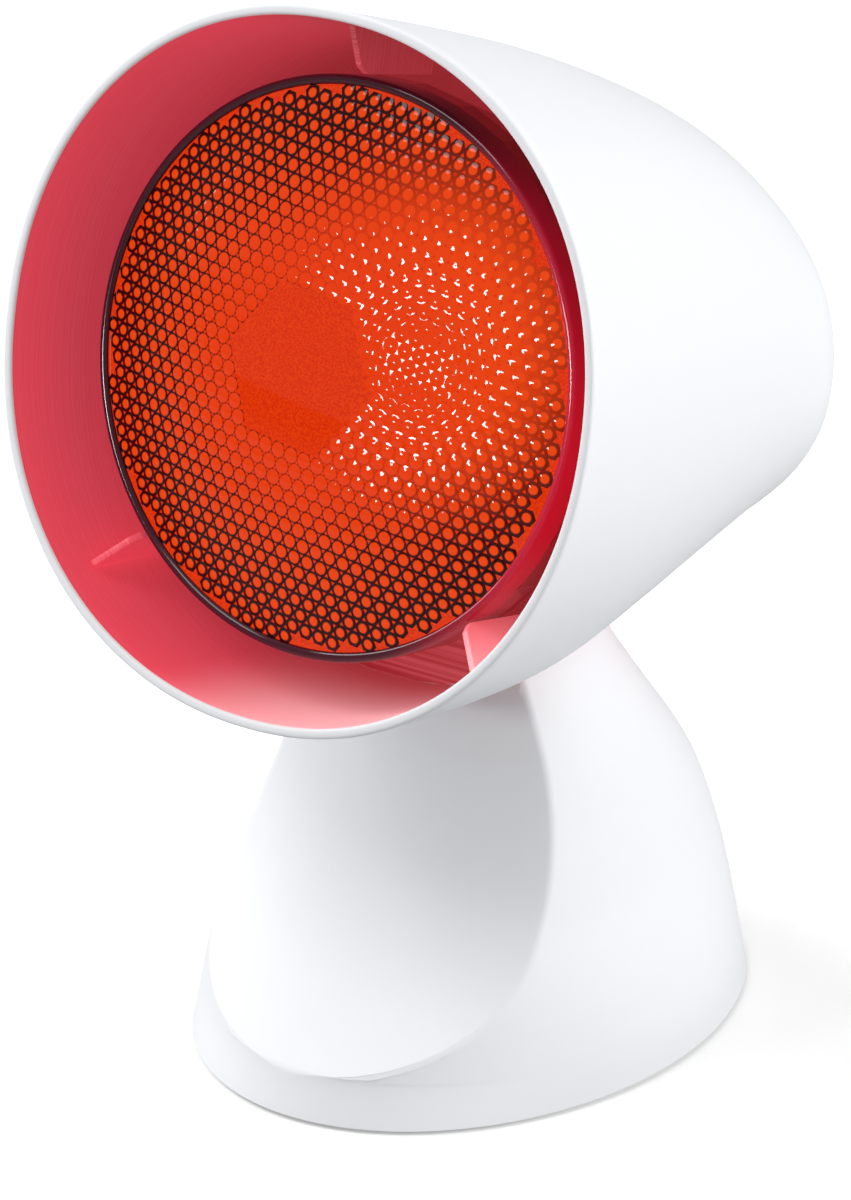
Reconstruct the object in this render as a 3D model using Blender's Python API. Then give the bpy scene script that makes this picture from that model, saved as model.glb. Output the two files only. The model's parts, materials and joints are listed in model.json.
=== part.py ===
"""Table-top infrared heat lamp: a tilting shade with a pressed-glass bulb on an oval moulded stand."""
import math

import bmesh
import bpy

# Clearances and fits
touch_gap = 0.0003
cut_overrun = 0.004
merge_distance = 0.00001
sharp_edge_degrees = 30.0
hole_segments = 12
round_segments = 20
bore_segments = 24

# Shade, measured from the middle of its front rim towards its rear
rim_radius = 0.075
shade_depth = 0.175
shade_wall = 0.0022
rim_rounding = 0.0006
shade_drop = 0.0050
rim_centre_forward = 0.0661
rim_centre_rise = 0.0684
rest_tilt_degrees = 12.75
section_power = 2.106
# Height above, height below and half width of the shade, as shares of the rim radius, at even turns
shade_top_shares = (1.0, 0.967, 0.928, 0.872, 0.802, 0.709, 0.582, 0.446, 0.250, 0.0)
shade_bottom_shares = (1.0, 0.990, 0.947, 0.822, 0.687, 0.568, 0.468, 0.327, 0.156, 0.0)
shade_side_shares = (1.0, 0.914, 0.829, 0.752, 0.683, 0.623, 0.573, 0.441, 0.242, 0.0)
shade_rings = 14
shade_segments = 46

# Stand
stand_width = 0.1154
stand_depth = 0.1488
stand_offset = 0.0020
stand_foot = 0.0010
stand_height = 0.0970
stand_wall = 0.0023
stand_front_segments = 10
stand_rear_segments = 30
# Heights of the stand's rings, closest where its crease runs nearly level
stand_ring_shares = (0.0, 0.05, 0.095, 0.106, 0.123, 0.152, 0.191, 0.242, 0.305, 0.39, 0.48, 0.57, 0.66,
                     0.75, 0.84, 0.92, 0.975, 1.0)
# Half width, half depth and centre of the stand's oval, each against the share of the stand's height
stand_level_shares = (0.0, 0.10, 0.21, 0.31, 0.41, 0.52, 0.62, 0.72, 0.82, 0.93, 0.975, 1.0)
stand_side_shares = (1.0, 0.991, 0.952, 0.896, 0.832, 0.775, 0.726, 0.677, 0.620, 0.548, 0.522, 0.455)
stand_long_shares = (1.0, 0.946, 0.923, 0.913, 0.888, 0.824, 0.727, 0.614, 0.516, 0.452, 0.431, 0.385)
stand_shift_shares = (1.0, 1.1, 1.15, 1.15, 1.2, 1.3, 1.3, 1.1, 0.5, -0.8, -1.1, -1.1)

# Scooped front of the stand
scoop_foot_forward = 0.0797
scoop_top_forward = 0.0225
scoop_top_share = 0.94845
scoop_crown_width = 0.0840
scoop_crown = 0.0099
crease_least = 0.0030
crease_halvings = 40

# Tilt joint
hinge_y = 0.0050
hinge_rise = 0.0040
pin_radius = 0.0025
pin_clearance = 0.00008
pin_overhang = 0.0020
clip_radius = 0.00475
clip_thickness = 0.0010
ear_radius = 0.0060
ear_thickness = 0.0030
ear_gap = 0.0400
ear_steps = 12
barrel_radius = 0.0062
barrel_end_gap = 0.0005
barrel_short_end = 0.0140
barrel_steps = 28
click_steps = 5
click_angle_degrees = 10.0
click_highest = 1

# Seat of the tilt joint in the stand's neck
seat_width = 0.0520
seat_length = 0.0330
seat_thickness = 0.0024
seat_web = 0.0080
neck_opening_width = 0.0490
neck_opening_length = 0.0150
neck_opening_depth = 0.0092
seat_screw_spread = 0.0250
# How far the seat's pilots and screws go into the wall above it
seat_pilot_share = 0.75
seat_screw_share = 0.70

# Channel in the shade that the neck swings in
channel_half_width = 0.0355
channel_wall = 0.0015
channel_front = 0.0320
channel_front_rise = 0.0005
channel_bend = 0.0070
channel_rise = 0.0110
channel_rear = 0.0550
channel_drop = 0.0400

# Detent
click_disc_radius = 0.0058
click_disc_thickness = 0.0030
click_notch_depth = 0.00045
click_plain_steps = 22
click_leaf_thickness = 0.0006
click_leaf_width = 0.0030
click_leaf_foot = 0.0032

# Bulb, along the shade's axis
bulb_face_depth = 0.0160
bulb_rim_share = 0.816
bulb_band_length = 0.0120
bulb_crown = 0.0075
bulb_crown_steps = 6
bulb_glass = 0.0028
# Front and back radius of the lens as shares of the bulb's radius, and its edge in glass thicknesses
lens_front_share = 0.94
lens_back_share = 0.90
lens_edge_share = 0.60
lens_root_share = 1.30
bulb_neck_radius = 0.0195
bulb_neck_depth = 0.1240
bulb_profile_shares = (0.0, 0.08, 0.20, 0.34, 0.49, 0.64, 0.78, 0.90, 1.0)
bulb_bell_shares = (1.0, 0.960, 0.875, 0.750, 0.590, 0.405, 0.215, 0.075, 0.0)
collar_length = 0.00224
collar_share = 0.96
cap_radius = 0.0132
cap_end_share = 0.80
cap_length = 0.0230
cap_thread_depth = 0.0006
cap_turns = 4
thread_root_share = 0.25
thread_crest_share = 0.75
tip_radius = 0.0050
tip_length = 0.0035
tip_start_share = 1.4
tip_middle_share = 1.2
bulb_segments = 30
cap_segments = 20

# Bulb's filament
filament_span = 0.0220
filament_radius = 0.0012
filament_depth = 0.0620
support_radius = 0.0009
support_segments = 10

# Lamp holder
holder_radius = 0.0215
holder_bore_clearance = 0.0010
holder_floor = 0.0050
holder_chamfer = 0.0030
holder_front_share = 0.90
holder_back_share = 0.75
holder_segments = 28
holder_front_gap = 0.0012
contact_length = 0.0100
contact_width = 0.0050
contact_thickness = 0.0006
bracket_width = 0.0580
bracket_height = 0.0140
bracket_thickness = 0.0015
bracket_screw_spread = 0.0490
bracket_boss_radius = 0.0040
bracket_screw_length = 0.0055

# Fins that centre the bulb
fin_turn_degrees = (0.0, 136.0, -136.0)
fin_start = 0.0080
fin_length = 0.0300
fin_thickness = 0.0018
fin_bulb_gap = 0.0006

# Rear vents
vent_count = 6
vent_width = 0.0360
vent_height = 0.0030
vent_pitch = 0.0072
vent_lowest = -0.0060
vent_start = 0.1350

# Stand's cover plate, feet and screws
plate_thickness = 0.0020
plate_recess = 0.0010
seat_segments = 34
foot_radius = 0.0065
foot_height = 0.0017
foot_segments = 16
foot_spread_share = 0.74
foot_turn_degrees = 63.0
boss_radius = 0.0038
boss_spread_share = 0.70
screw_radius = 0.0014
screw_pilot_clearance = 0.0002
screw_length = 0.0100
screw_head_radius = 0.0028
screw_head_height = 0.0016
screw_crown_share = 0.70
screw_segments = 10
boss_turn_degrees = (38.0, 142.0, 218.0, 322.0)

# Rocker switch at the rear of the stand
switch_height = 0.0320
switch_lean_degrees = 6.4
switch_width = 0.0150
switch_tall = 0.0210
switch_bezel = 0.0012
switch_land = 0.0007
switch_body_width = 0.0126
switch_body_tall = 0.0186
switch_body_depth = 0.0120
switch_wall = 0.0012
rocker_gap = 0.0004
rocker_tilt_degrees = 9.0
rocker_proud = 0.0016
rocker_pivot_depth = 0.0020
# Places along the rocker's outline, as shares of its half height and of how far it stands proud
rocker_root_share = 0.55
rocker_edge_share = 0.92
rocker_dip_share = 0.35

# Cable gland and the wiring block inside
gland_height = 0.0115
gland_radius = 0.0040
gland_flange_radius = 0.0062
gland_flange = 0.0014
gland_length = 0.0130
gland_land = 0.0005
gland_bore = 0.0030
block_width = 0.0220
block_length = 0.0120
block_height = 0.0100
block_y = 0.0180
terminal_pitch = 0.0073
terminal_radius = 0.0018
terminal_depth = 0.0033
clamp_width = 0.0200
clamp_length = 0.0070
clamp_height = 0.0060
clamp_y = 0.0450
saddle_segments = 16

stand_half_width = stand_width / 2
stand_half_depth = stand_depth / 2
scoop_top_height = stand_height * scoop_top_share
hinge_z = stand_height + hinge_rise
bulb_radius = rim_radius * bulb_rim_share
rest_tilt = math.radians(rest_tilt_degrees)


def clear_scene():
    """Remove whatever is in the scene."""
    for item in list(bpy.data.objects):
        bpy.data.objects.remove(item, do_unlink=True)


def make_material(name, color, roughness, metallic=0.0):
    """Make one plain finish."""
    material = bpy.data.materials.new(name)
    material.use_nodes = True
    shader = material.node_tree.nodes["Principled BSDF"]
    shader.inputs["Base Color"].default_value = (*color, 1.0)
    shader.inputs["Roughness"].default_value = roughness
    shader.inputs["Metallic"].default_value = metallic
    return material


def make_empty(name, location, turn_x=0.0, parent=None):
    """Make an empty that carries other pieces."""
    empty = bpy.data.objects.new(name, None)
    bpy.context.scene.collection.objects.link(empty)
    empty.parent = parent
    empty.location = location
    empty.rotation_euler = (turn_x, 0.0, 0.0)
    return empty


def finish(name, bm, material, parent=None, location=(0.0, 0.0, 0.0), turn=(0.0, 0.0, 0.0)):
    """Turn a bmesh into a named, smooth-shaded object."""
    bmesh.ops.remove_doubles(bm, verts=bm.verts, dist=merge_distance)
    bmesh.ops.recalc_face_normals(bm, faces=bm.faces)
    mesh = bpy.data.meshes.new(name)
    bm.to_mesh(mesh)
    bm.free()
    mesh.shade_smooth()
    mesh.set_sharp_from_angle(angle=math.radians(sharp_edge_degrees))
    item = bpy.data.objects.new(name, mesh)
    bpy.context.scene.collection.objects.link(item)
    item.parent = parent
    item.location = location
    item.rotation_euler = turn
    if material is None:
        item.hide_render = True
        item.display_type = 'WIRE'
    else:
        mesh.materials.append(material)
    return item


def combine(item, tool, operation='DIFFERENCE', solver='EXACT'):
    """Cut, join or intersect an item with a tool."""
    step = item.modifiers.new(operation.lower(), 'BOOLEAN')
    step.object = tool
    step.operation = operation
    step.solver = solver


def skin(rings, loop=False):
    """Skin rings of points in order; a ring of one point is a pole, and open ends are capped."""
    bm = bmesh.new()
    rows = [[bm.verts.new(point) for point in ring] for ring in rings]
    pairs = list(zip(rows, rows[1:]))
    if loop:
        pairs.append((rows[-1], rows[0]))
    for low, high in pairs:
        count = max(len(low), len(high))
        for index in range(count):
            after = (index + 1) % count
            corners = []
            for row, place in ((low, index), (low, after), (high, after), (high, index)):
                corner = row[place % len(row)]
                if corner not in corners:
                    corners.append(corner)
            bm.faces.new(corners)
    if not loop:
        for row in (rows[0], rows[-1]):
            if len(row) > 2:
                bm.faces.new(row)
    return bm


def even_skin(rings):
    """Skin rings of points, with each face split along its shorter diagonal."""
    bm = skin(rings)
    bmesh.ops.triangulate(bm, faces=bm.faces, quad_method='SHORT_EDGE')
    return bm


def turned(profile, segments, along='Y', loop=False):
    """Turn a profile of (radius, distance) points round an axis."""
    rings = []
    for radius, distance in profile:
        if radius == 0:
            spots = [(0.0, 0.0)]
        else:
            turns = [2 * math.pi * step / segments for step in range(segments)]
            spots = [(radius * math.cos(turn), radius * math.sin(turn)) for turn in turns]
        if along == 'Y':
            rings.append([(a, distance, b) for a, b in spots])
        elif along == 'X':
            rings.append([(distance, a, b) for a, b in spots])
        else:
            rings.append([(a, b, distance) for a, b in spots])
    return skin(rings, loop)


def block(width, length, height, centre):
    """Make a box about a centre."""
    bm = bmesh.new()
    bmesh.ops.create_cube(bm, size=1.0)
    bmesh.ops.scale(bm, vec=(width, length, height), verts=bm.verts)
    bmesh.ops.translate(bm, vec=centre, verts=bm.verts)
    return bm


def oval_plate(half_width, half_length, low, high):
    """Make an oval plate between two heights."""
    turns = [2 * math.pi * step / seat_segments for step in range(seat_segments)]
    return skin([[(half_width * math.cos(turn), half_length * math.sin(turn), z) for turn in turns]
                 for z in (low, high)])


def prism(outline, half_width, centre_x=0.0):
    """Extrude a side outline of (y, z) points across the width."""
    return skin([[(centre_x + side * half_width, y, z) for y, z in outline] for side in (-1, 1)])


def spread(shares, place):
    """Read a table of shares at a place from 0 to 1, with a smooth curve through its values."""
    last = len(shares) - 1
    at = min(max(place, 0.0), 1.0) * last
    index = min(int(at), last - 1)
    t = at - index
    low, high = shares[index], shares[index + 1]
    slope_low = (high - shares[max(index - 1, 0)]) / (2 if index > 0 else 1)
    slope_high = (shares[min(index + 2, last)] - low) / (2 if index + 2 <= last else 1)
    square, cube = t * t, t * t * t
    return ((2 * cube - 3 * square + 1) * low + (cube - 2 * square + t) * slope_low
            + (3 * square - 2 * cube) * high + (cube - square) * slope_high)


def oval_point(turn, half_width, top, bottom, power):
    """Give one point of a slightly squared oval."""
    c, s = math.cos(turn), math.sin(turn)
    height = top if s >= 0 else bottom
    return (math.copysign(abs(c) ** (2 / power), c) * half_width,
            math.copysign(abs(s) ** (2 / power), s) * height)


def shade_ring(place, inset, segments):
    """Give one ring of the shade's shell, at a place from its rim, 0, to its rear, 1."""
    scale = rim_radius - inset
    depth = (shade_depth - inset) * math.sin(place * math.pi / 2)
    drop = shade_drop * math.sin(place * math.pi / 2) ** 2
    if place == 1:
        return [(0.0, depth, -drop)]
    top, bottom, side = (spread(shares, place) * scale
                         for shares in (shade_top_shares, shade_bottom_shares, shade_side_shares))
    points = []
    for step in range(segments):
        x, z = oval_point(2 * math.pi * step / segments, side, top, bottom, section_power)
        points.append((x, depth, z - drop))
    return points


def shade_rings_from(inset, start=0.0):
    """Give the shade's rings from near its rim to its rear pole."""
    places = [start + (1 - start) * step / shade_rings for step in range(shade_rings + 1)]
    return [shade_ring(place, inset, shade_segments) for place in places]


def frame_middle():
    """Give the middle of the lamp's length at rest, from the middle of the stand."""
    c, s = math.cos(rest_tilt), math.sin(rest_tilt)
    lengths = [y * c + z * s - rim_centre_forward
               for ring in shade_rings_from(0.0, rim_rounding / shade_depth) for x, y, z in ring]
    return (min(lengths) + max(lengths)) / 2


def shade_solid(inset):
    """Make the shade's outer form as a solid, closed across the rim."""
    rings = shade_rings_from(inset)
    front = [(x, -cut_overrun, z) for x, y, z in rings[0]]
    return skin([front] + rings)


def stand_oval(level):
    """Give the stand's half width, half depth and centre at a height."""
    share = min(max(level / stand_height, 0.0), 1.0)
    index = 0
    while index < len(stand_level_shares) - 2 and share > stand_level_shares[index + 1]:
        index += 1
    low, high = stand_level_shares[index], stand_level_shares[index + 1]
    place = (index + (share - low) / (high - low)) / (len(stand_level_shares) - 1)
    return (spread(stand_side_shares, place) * stand_half_width,
            spread(stand_long_shares, place) * stand_half_depth,
            spread(stand_shift_shares, place) * stand_offset)


def scoop_y(x, z, inset):
    """Give the scooped front's place at a point across and up."""
    share = min(max(z / scoop_top_height, 0.0), 1.0)
    fall = (1 - share) ** 2
    crown = scoop_crown * (x / (scoop_crown_width / 2)) ** 2
    return -scoop_top_forward - (scoop_foot_forward - scoop_top_forward) * fall + crown + inset


def oval_front(x, side, long, shift):
    """Give the front of an oval at a place across it."""
    return shift - long * math.sqrt(max(1 - (x / side) ** 2, 0.0))


def crease_x(level, inset, side, long, shift):
    """Find the half width at which the scooped front meets the oval."""
    low, high = 0.0, side
    for _ in range(crease_halvings):
        middle = (low + high) / 2
        if scoop_y(middle, level, inset) > oval_front(middle, side, long, shift):
            low = middle
        else:
            high = middle
    return max(low, crease_least)


def stand_ring(level, inset):
    """Give one ring of the stand at a height: the oval behind, then the scooped front."""
    side, long, shift = stand_oval(level)
    side, long = side - inset, long - inset
    edge = crease_x(level, inset, side, long, shift)
    lead = math.acos(edge / side)
    points = []
    for step in range(stand_rear_segments + 1):
        turn = (math.pi + 2 * lead) * step / stand_rear_segments - lead
        points.append((side * math.cos(turn), shift + long * math.sin(turn), level))
    for step in range(1, stand_front_segments):
        x = edge * (2 * step / stand_front_segments - 1)
        y = max(scoop_y(x, level, inset), oval_front(x, side, long, shift))
        points.append((x, y, level))
    return points


def screw(name, material, parent, place, turn=(0.0, 0.0, 0.0), length=screw_length):
    """Make a pan-head screw whose head sits under its local origin, pointing up."""
    profile = [(0.0, -screw_head_height), (screw_head_radius * screw_crown_share, -screw_head_height),
               (screw_head_radius, -screw_head_height / 2), (screw_head_radius, 0.0),
               (screw_radius, 0.0), (screw_radius, length - screw_radius), (0.0, length)]
    return finish(name, turned(profile, screw_segments, 'Z'), material, parent, place, turn)


def build_stand(root, finishes):
    """Make the stand's moulded housing with its scooped front, neck opening and bosses."""
    shell_rings = [stand_ring(share * stand_height, 0.0) for share in stand_ring_shares]
    shell_rings[0] = [(x, y, stand_foot) for x, y, z in shell_rings[0]]
    outer = finish("stand_shell", even_skin(shell_rings), finishes["white"], root)

    hollow_top = stand_height - stand_wall
    hollow_rings = [stand_ring(share * hollow_top, stand_wall) for share in stand_ring_shares]
    hollow_rings.insert(0, [(x, y, -cut_overrun) for x, y, z in hollow_rings[0]])
    hollow = finish("stand_hollow", even_skin(hollow_rings), None, root)
    boss_foot = plate_top() + touch_gap
    for index, degrees in enumerate(boss_turn_degrees):
        x, y = boss_place(degrees)
        post = turned([(0.0, boss_foot), (boss_radius, boss_foot), (boss_radius, stand_height),
                       (0.0, stand_height)], round_segments, 'Z')
        combine(hollow, finish(f"boss_post_{index}", post, None, root, (x, y, 0.0)))
    combine(outer, hollow)
    for index, degrees in enumerate(boss_turn_degrees):
        x, y = boss_place(degrees)
        reach = screw_length + touch_gap
        pilot = turned([(0.0, 0.0), (screw_radius + screw_pilot_clearance, 0.0),
                        (screw_radius + screw_pilot_clearance, reach), (0.0, reach)], hole_segments, 'Z')
        combine(outer, finish(f"boss_pilot_{index}", pilot, None, root, (x, y, screw_seat())))

    opening = block(neck_opening_width, neck_opening_length, neck_opening_depth, (0.0, hinge_y, stand_height))
    combine(outer, finish("neck_opening", opening, None, root))
    for side in (-1, 1):
        pilot_radius = screw_radius + screw_pilot_clearance
        depth = stand_wall * seat_pilot_share
        pilot = turned([(0.0, -stand_wall), (pilot_radius, -stand_wall), (pilot_radius, depth),
                        (0.0, depth)], hole_segments, 'Z')
        place = (0.0, hinge_y + side * seat_screw_spread / 2, stand_height - stand_wall)
        combine(outer, finish(f"seat_pilot_{side}", pilot, None, root, place))
    return outer


def plate_top():
    """Give the height of the cover plate's upper face."""
    return stand_foot + plate_recess + plate_thickness


def screw_seat():
    """Give the height that the cover plate's screws are sunk to."""
    return stand_foot + plate_recess + touch_gap


def boss_place(degrees):
    """Give a screw boss's place in plan."""
    turn = math.radians(degrees)
    return (stand_half_width * boss_spread_share * math.cos(turn),
            stand_offset + stand_half_depth * boss_spread_share * math.sin(turn))


def build_plate(root, finishes):
    """Make the stand's cover plate, its screws and its feet."""
    gap = stand_wall + touch_gap
    rings = [stand_ring(level, gap) for level in (stand_foot + plate_recess, plate_top())]
    plate = finish("base_plate", skin(rings), finishes["grey"], root)
    for index, degrees in enumerate(boss_turn_degrees):
        x, y = boss_place(degrees)
        wide = screw_head_radius + touch_gap
        slim = screw_radius + screw_pilot_clearance
        hole = turned([(0.0, -cut_overrun), (wide, -cut_overrun), (wide, 0.0), (slim, 0.0),
                       (slim, cut_overrun), (0.0, cut_overrun)], hole_segments, 'Z')
        combine(plate, finish(f"plate_hole_{index}", hole, None, root, (x, y, screw_seat())))
        screw(f"plate_screw_{index + 1}", finishes["steel"], root, (x, y, screw_seat() - touch_gap))
    turn = math.radians(foot_turn_degrees)
    for across, side_label in ((-1, "left"), (1, "right")):
        for along, end_label in ((-1, "front"), (1, "rear")):
            x = across * stand_half_width * foot_spread_share * math.cos(turn)
            y = stand_offset + along * stand_half_depth * foot_spread_share * math.sin(turn)
            pad = [(0.0, 0.0), (foot_radius - foot_height / 2, 0.0), (foot_radius, foot_height / 2),
                   (foot_radius, foot_height), (0.0, foot_height)]
            finish(f"foot_{end_label}_{side_label}", turned(pad, foot_segments, 'Z'), finishes["rubber"],
                   root, (x, y, 0.0))


def build_neck_seat(root, finishes):
    """Make the hinge barrel that stands in the neck, with its two screws."""
    top = stand_height - stand_wall - touch_gap
    flange = oval_plate(seat_width / 2, seat_length / 2, top - seat_thickness, top)
    seat = finish("hinge_seat", flange, finishes["grey"], root, (0.0, hinge_y, 0.0))
    right = ear_gap / 2 - barrel_end_gap
    middle = (right - barrel_short_end) / 2
    length = right + barrel_short_end
    lean = math.asin(seat_web / 2 / barrel_radius)
    turns = [lean + (2 * math.pi - 2 * lean) * step / barrel_steps for step in range(barrel_steps + 1)]
    keyhole = [(-barrel_radius * math.sin(turn), -barrel_radius * math.cos(turn)) for turn in turns]
    foot = top - seat_thickness / 2 - hinge_z
    keyhole = [(seat_web / 2, foot), (-seat_web / 2, foot)] + keyhole
    web = finish("seat_web", prism(keyhole, length / 2), None, root, (middle, hinge_y, hinge_z))
    combine(seat, web, 'UNION')
    bore_radius = pin_radius + pin_clearance
    bore = turned([(0.0, -length), (bore_radius, -length), (bore_radius, length), (0.0, length)],
                  bore_segments, 'X')
    combine(seat, finish("seat_bore", bore, None, root, (middle, hinge_y, hinge_z)))
    for side in (-1, 1):
        place = (0.0, hinge_y + side * seat_screw_spread / 2, top - seat_thickness)
        radius = screw_radius + screw_pilot_clearance
        hole = turned([(0.0, -cut_overrun), (radius, -cut_overrun), (radius, cut_overrun),
                       (0.0, cut_overrun)], hole_segments, 'Z')
        combine(seat, finish(f"seat_hole_{side}", hole, None, root, place))
        label = "front" if side < 0 else "rear"
        reach = seat_thickness + touch_gap + stand_wall * seat_screw_share
        screw(f"seat_screw_{label}", finishes["steel"], root, (place[0], place[1], place[2] - touch_gap),
              length=reach)


def build_click_leaf(root, finishes):
    """Make the spring leaf whose bent end clicks on the notched disc."""
    disc_middle = -(ear_gap / 2 - touch_gap - click_disc_thickness / 2)
    low = stand_height - stand_wall
    front = hinge_y - click_disc_radius - touch_gap - click_leaf_thickness
    high = hinge_z + click_disc_radius / 2
    foot_end = front + click_leaf_foot
    outline = [(front, low), (foot_end, low), (foot_end, low + click_leaf_thickness)]
    outline += [(front + click_leaf_thickness, low + click_leaf_thickness)]
    outline += [(front + click_leaf_thickness, high), (front, high)]
    leaf = prism(outline, click_leaf_width / 2, disc_middle)
    finish("click_leaf", leaf, finishes["steel"], root)


def build_switch(root, finishes, shell):
    """Make the rocker switch's land, housing and rocker."""
    side, long, shift = stand_oval(switch_height)
    lean = math.radians(switch_lean_degrees)
    face = make_empty("switch_face", (0.0, shift + long - switch_land, switch_height), lean, root)
    land = block(switch_width + touch_gap * 2, switch_land * 4, switch_tall + touch_gap * 2,
                 (0.0, switch_land * 2, 0.0))
    combine(shell, finish("switch_land_cut", land, None, face))
    hole = block(switch_body_width + touch_gap * 2, switch_body_depth * 2,
                 switch_body_tall + touch_gap * 2, (0.0, 0.0, 0.0))
    combine(shell, finish("switch_hole", hole, None, face))

    bezel_back = touch_gap
    bezel = block(switch_width, switch_bezel, switch_tall, (0.0, bezel_back + switch_bezel / 2, 0.0))
    housing = finish("switch_housing", bezel, finishes["black"], face)
    body_back = -switch_body_depth
    body = block(switch_body_width, switch_body_depth + bezel_back + switch_bezel / 2, switch_body_tall,
                 (0.0, (body_back + bezel_back + switch_bezel / 2) / 2, 0.0))
    combine(housing, finish("switch_body", body, None, face), 'UNION')
    well_width = switch_body_width - 2 * switch_wall
    well_tall = switch_body_tall - 2 * switch_wall
    well_depth = switch_body_depth - switch_wall
    well = block(well_width, well_depth + switch_bezel * 4, well_tall,
                 (0.0, (switch_bezel * 4 - well_depth) / 2, 0.0))
    combine(housing, finish("switch_well", well, None, face))

    pivot = make_empty("rocker_pivot", (0.0, bezel_back + switch_bezel - rocker_pivot_depth, 0.0), 0.0, face)
    half = well_tall / 2 - rocker_gap * 2
    proud = rocker_pivot_depth + rocker_proud
    dip = rocker_pivot_depth + rocker_proud * rocker_dip_share
    tilt = math.radians(rocker_tilt_degrees)
    back, edge = half * rocker_root_share, half * rocker_edge_share
    outline = [(-rocker_pivot_depth, -back), (0.0, -half), (proud, -edge), (dip, 0.0)]
    outline += [(proud, edge), (0.0, half), (-rocker_pivot_depth, back)]
    rocker = prism(outline, well_width / 2 - rocker_gap)
    finish("switch_rocker", rocker, finishes["black"], pivot, turn=(tilt, 0.0, 0.0))


def build_wiring(root, finishes, shell):
    """Make the cable gland in the rear wall, and the clamp and terminal block on the cover plate."""
    side, long, shift = stand_oval(gland_height)
    gland = [(gland_bore, gland_flange), (gland_flange_radius - touch_gap, gland_flange),
             (gland_flange_radius, 0.0), (gland_radius, 0.0), (gland_radius, -gland_length),
             (gland_bore, -gland_length)]
    face = make_empty("gland_face", (0.0, shift + long - gland_land + touch_gap, gland_height), 0.0, root)
    finish("cable_gland", turned(gland, bore_segments, 'Y', loop=True), finishes["rubber"], face)
    hole_radius = gland_radius + touch_gap
    hole = turned([(0.0, -gland_length), (hole_radius, -gland_length), (hole_radius, gland_length),
                   (0.0, gland_length)], bore_segments, 'Y')
    combine(shell, finish("gland_hole", hole, None, face))
    land_radius = gland_flange_radius + touch_gap
    land = turned([(0.0, -touch_gap), (land_radius, -touch_gap), (land_radius, gland_length),
                   (0.0, gland_length)], bore_segments, 'Y')
    combine(shell, finish("gland_land_cut", land, None, face))

    base = plate_top() + touch_gap
    middle = base + block_height / 2
    terminals = finish("terminal_block", block(block_width, block_length, block_height, (0.0, block_y, middle)),
                       finishes["white_inner"], root)
    for index in (-1, 0, 1):
        spot = (index * terminal_pitch, block_y, base + block_height)
        well = turned([(0.0, -terminal_depth), (terminal_radius, -terminal_depth),
                       (terminal_radius, block_height), (0.0, block_height)], hole_segments, 'Z')
        combine(terminals, finish(f"terminal_well_{index}", well, None, root, spot))
    clamp = finish("cord_clamp",
                   block(clamp_width, clamp_length, clamp_height, (0.0, clamp_y, base + clamp_height / 2)),
                   finishes["grey"], root)
    saddle = turned([(0.0, -clamp_length), (gland_bore, -clamp_length), (gland_bore, clamp_length),
                     (0.0, clamp_length)], saddle_segments, 'Y')
    combine(clamp, finish("clamp_saddle", saddle, None, root, (0.0, clamp_y, base)))


def channel_outline(offset, drop):
    """Give the side outline of the channel that the neck swings in, from the hinge."""
    return [(-channel_front - offset, -drop), (-channel_front - offset, channel_front_rise + offset),
            (channel_bend, channel_rise + offset), (channel_rear + offset, channel_rise + offset),
            (channel_rear + offset, -drop)]


def hood_height(y):
    """Give the height of the channel's sloping roof at a place along it, from the hinge."""
    share = (y + channel_front) / (channel_bend + channel_front)
    return channel_front_rise + (channel_rise - channel_front_rise) * share


def build_shade(tilt, shade, finishes):
    """Make the shade's shell with its neck slot, rear vents and centring fins."""
    outer = shade_rings_from(0.0, rim_rounding / shade_depth)
    inner = shade_rings_from(shade_wall)
    lip = [[(x * (1 - rim_rounding / rim_radius), 0.0, z * (1 - rim_rounding / rim_radius))
            for x, y, z in shade_ring(0.0, 0.0, shade_segments)]]
    shell = finish("shade_shell", skin(list(reversed(inner)) + lip + outer), finishes["white"], shade)
    for index, degrees in enumerate(fin_turn_degrees):
        low = bulb_radius + fin_bulb_gap
        fin = block(fin_thickness, fin_length, rim_radius - low,
                    (0.0, fin_start + fin_length / 2, (rim_radius + low) / 2))
        turn = (0.0, math.radians(degrees), 0.0)
        tool = finish(f"fin_{index}", fin, None, shade, turn=turn)
        combine(tool, finish(f"fin_trim_{index}", shade_solid(shade_wall / 2), None, shade), 'INTERSECT')
        combine(shell, tool, 'UNION')

    slot = prism(channel_outline(0.0, channel_drop), channel_half_width)
    combine(shell, finish("neck_slot", slot, None, tilt))
    for index in range(vent_count):
        height = vent_lowest + index * vent_pitch
        vent = block(vent_width, shade_depth, vent_height, (0.0, vent_start + shade_depth / 2, height))
        combine(shell, finish(f"vent_{index}", vent, None, shade))
    for side in (-1, 1):
        start = holder_back() + bracket_thickness + touch_gap * 2
        post = turned([(0.0, start), (bracket_boss_radius, start), (bracket_boss_radius, shade_depth),
                       (0.0, shade_depth)], round_segments, 'Y')
        boss = finish(f"bracket_boss_{side}", post, None, shade,
                      (side * bracket_screw_spread / 2, 0.0, -shade_drop))
        combine(boss, finish(f"boss_trim_{side}", shade_solid(shade_wall / 2), None, shade), 'INTERSECT')
        combine(shell, boss, 'UNION')
        radius = screw_radius + screw_pilot_clearance
        reach = holder_back() + bracket_screw_length + touch_gap
        pilot = turned([(0.0, 0.0), (radius, 0.0), (radius, reach), (0.0, reach)], hole_segments)
        combine(shell, finish(f"bracket_pilot_{side}", pilot, None, shade,
                              (side * bracket_screw_spread / 2, 0.0, -shade_drop)))


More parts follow.
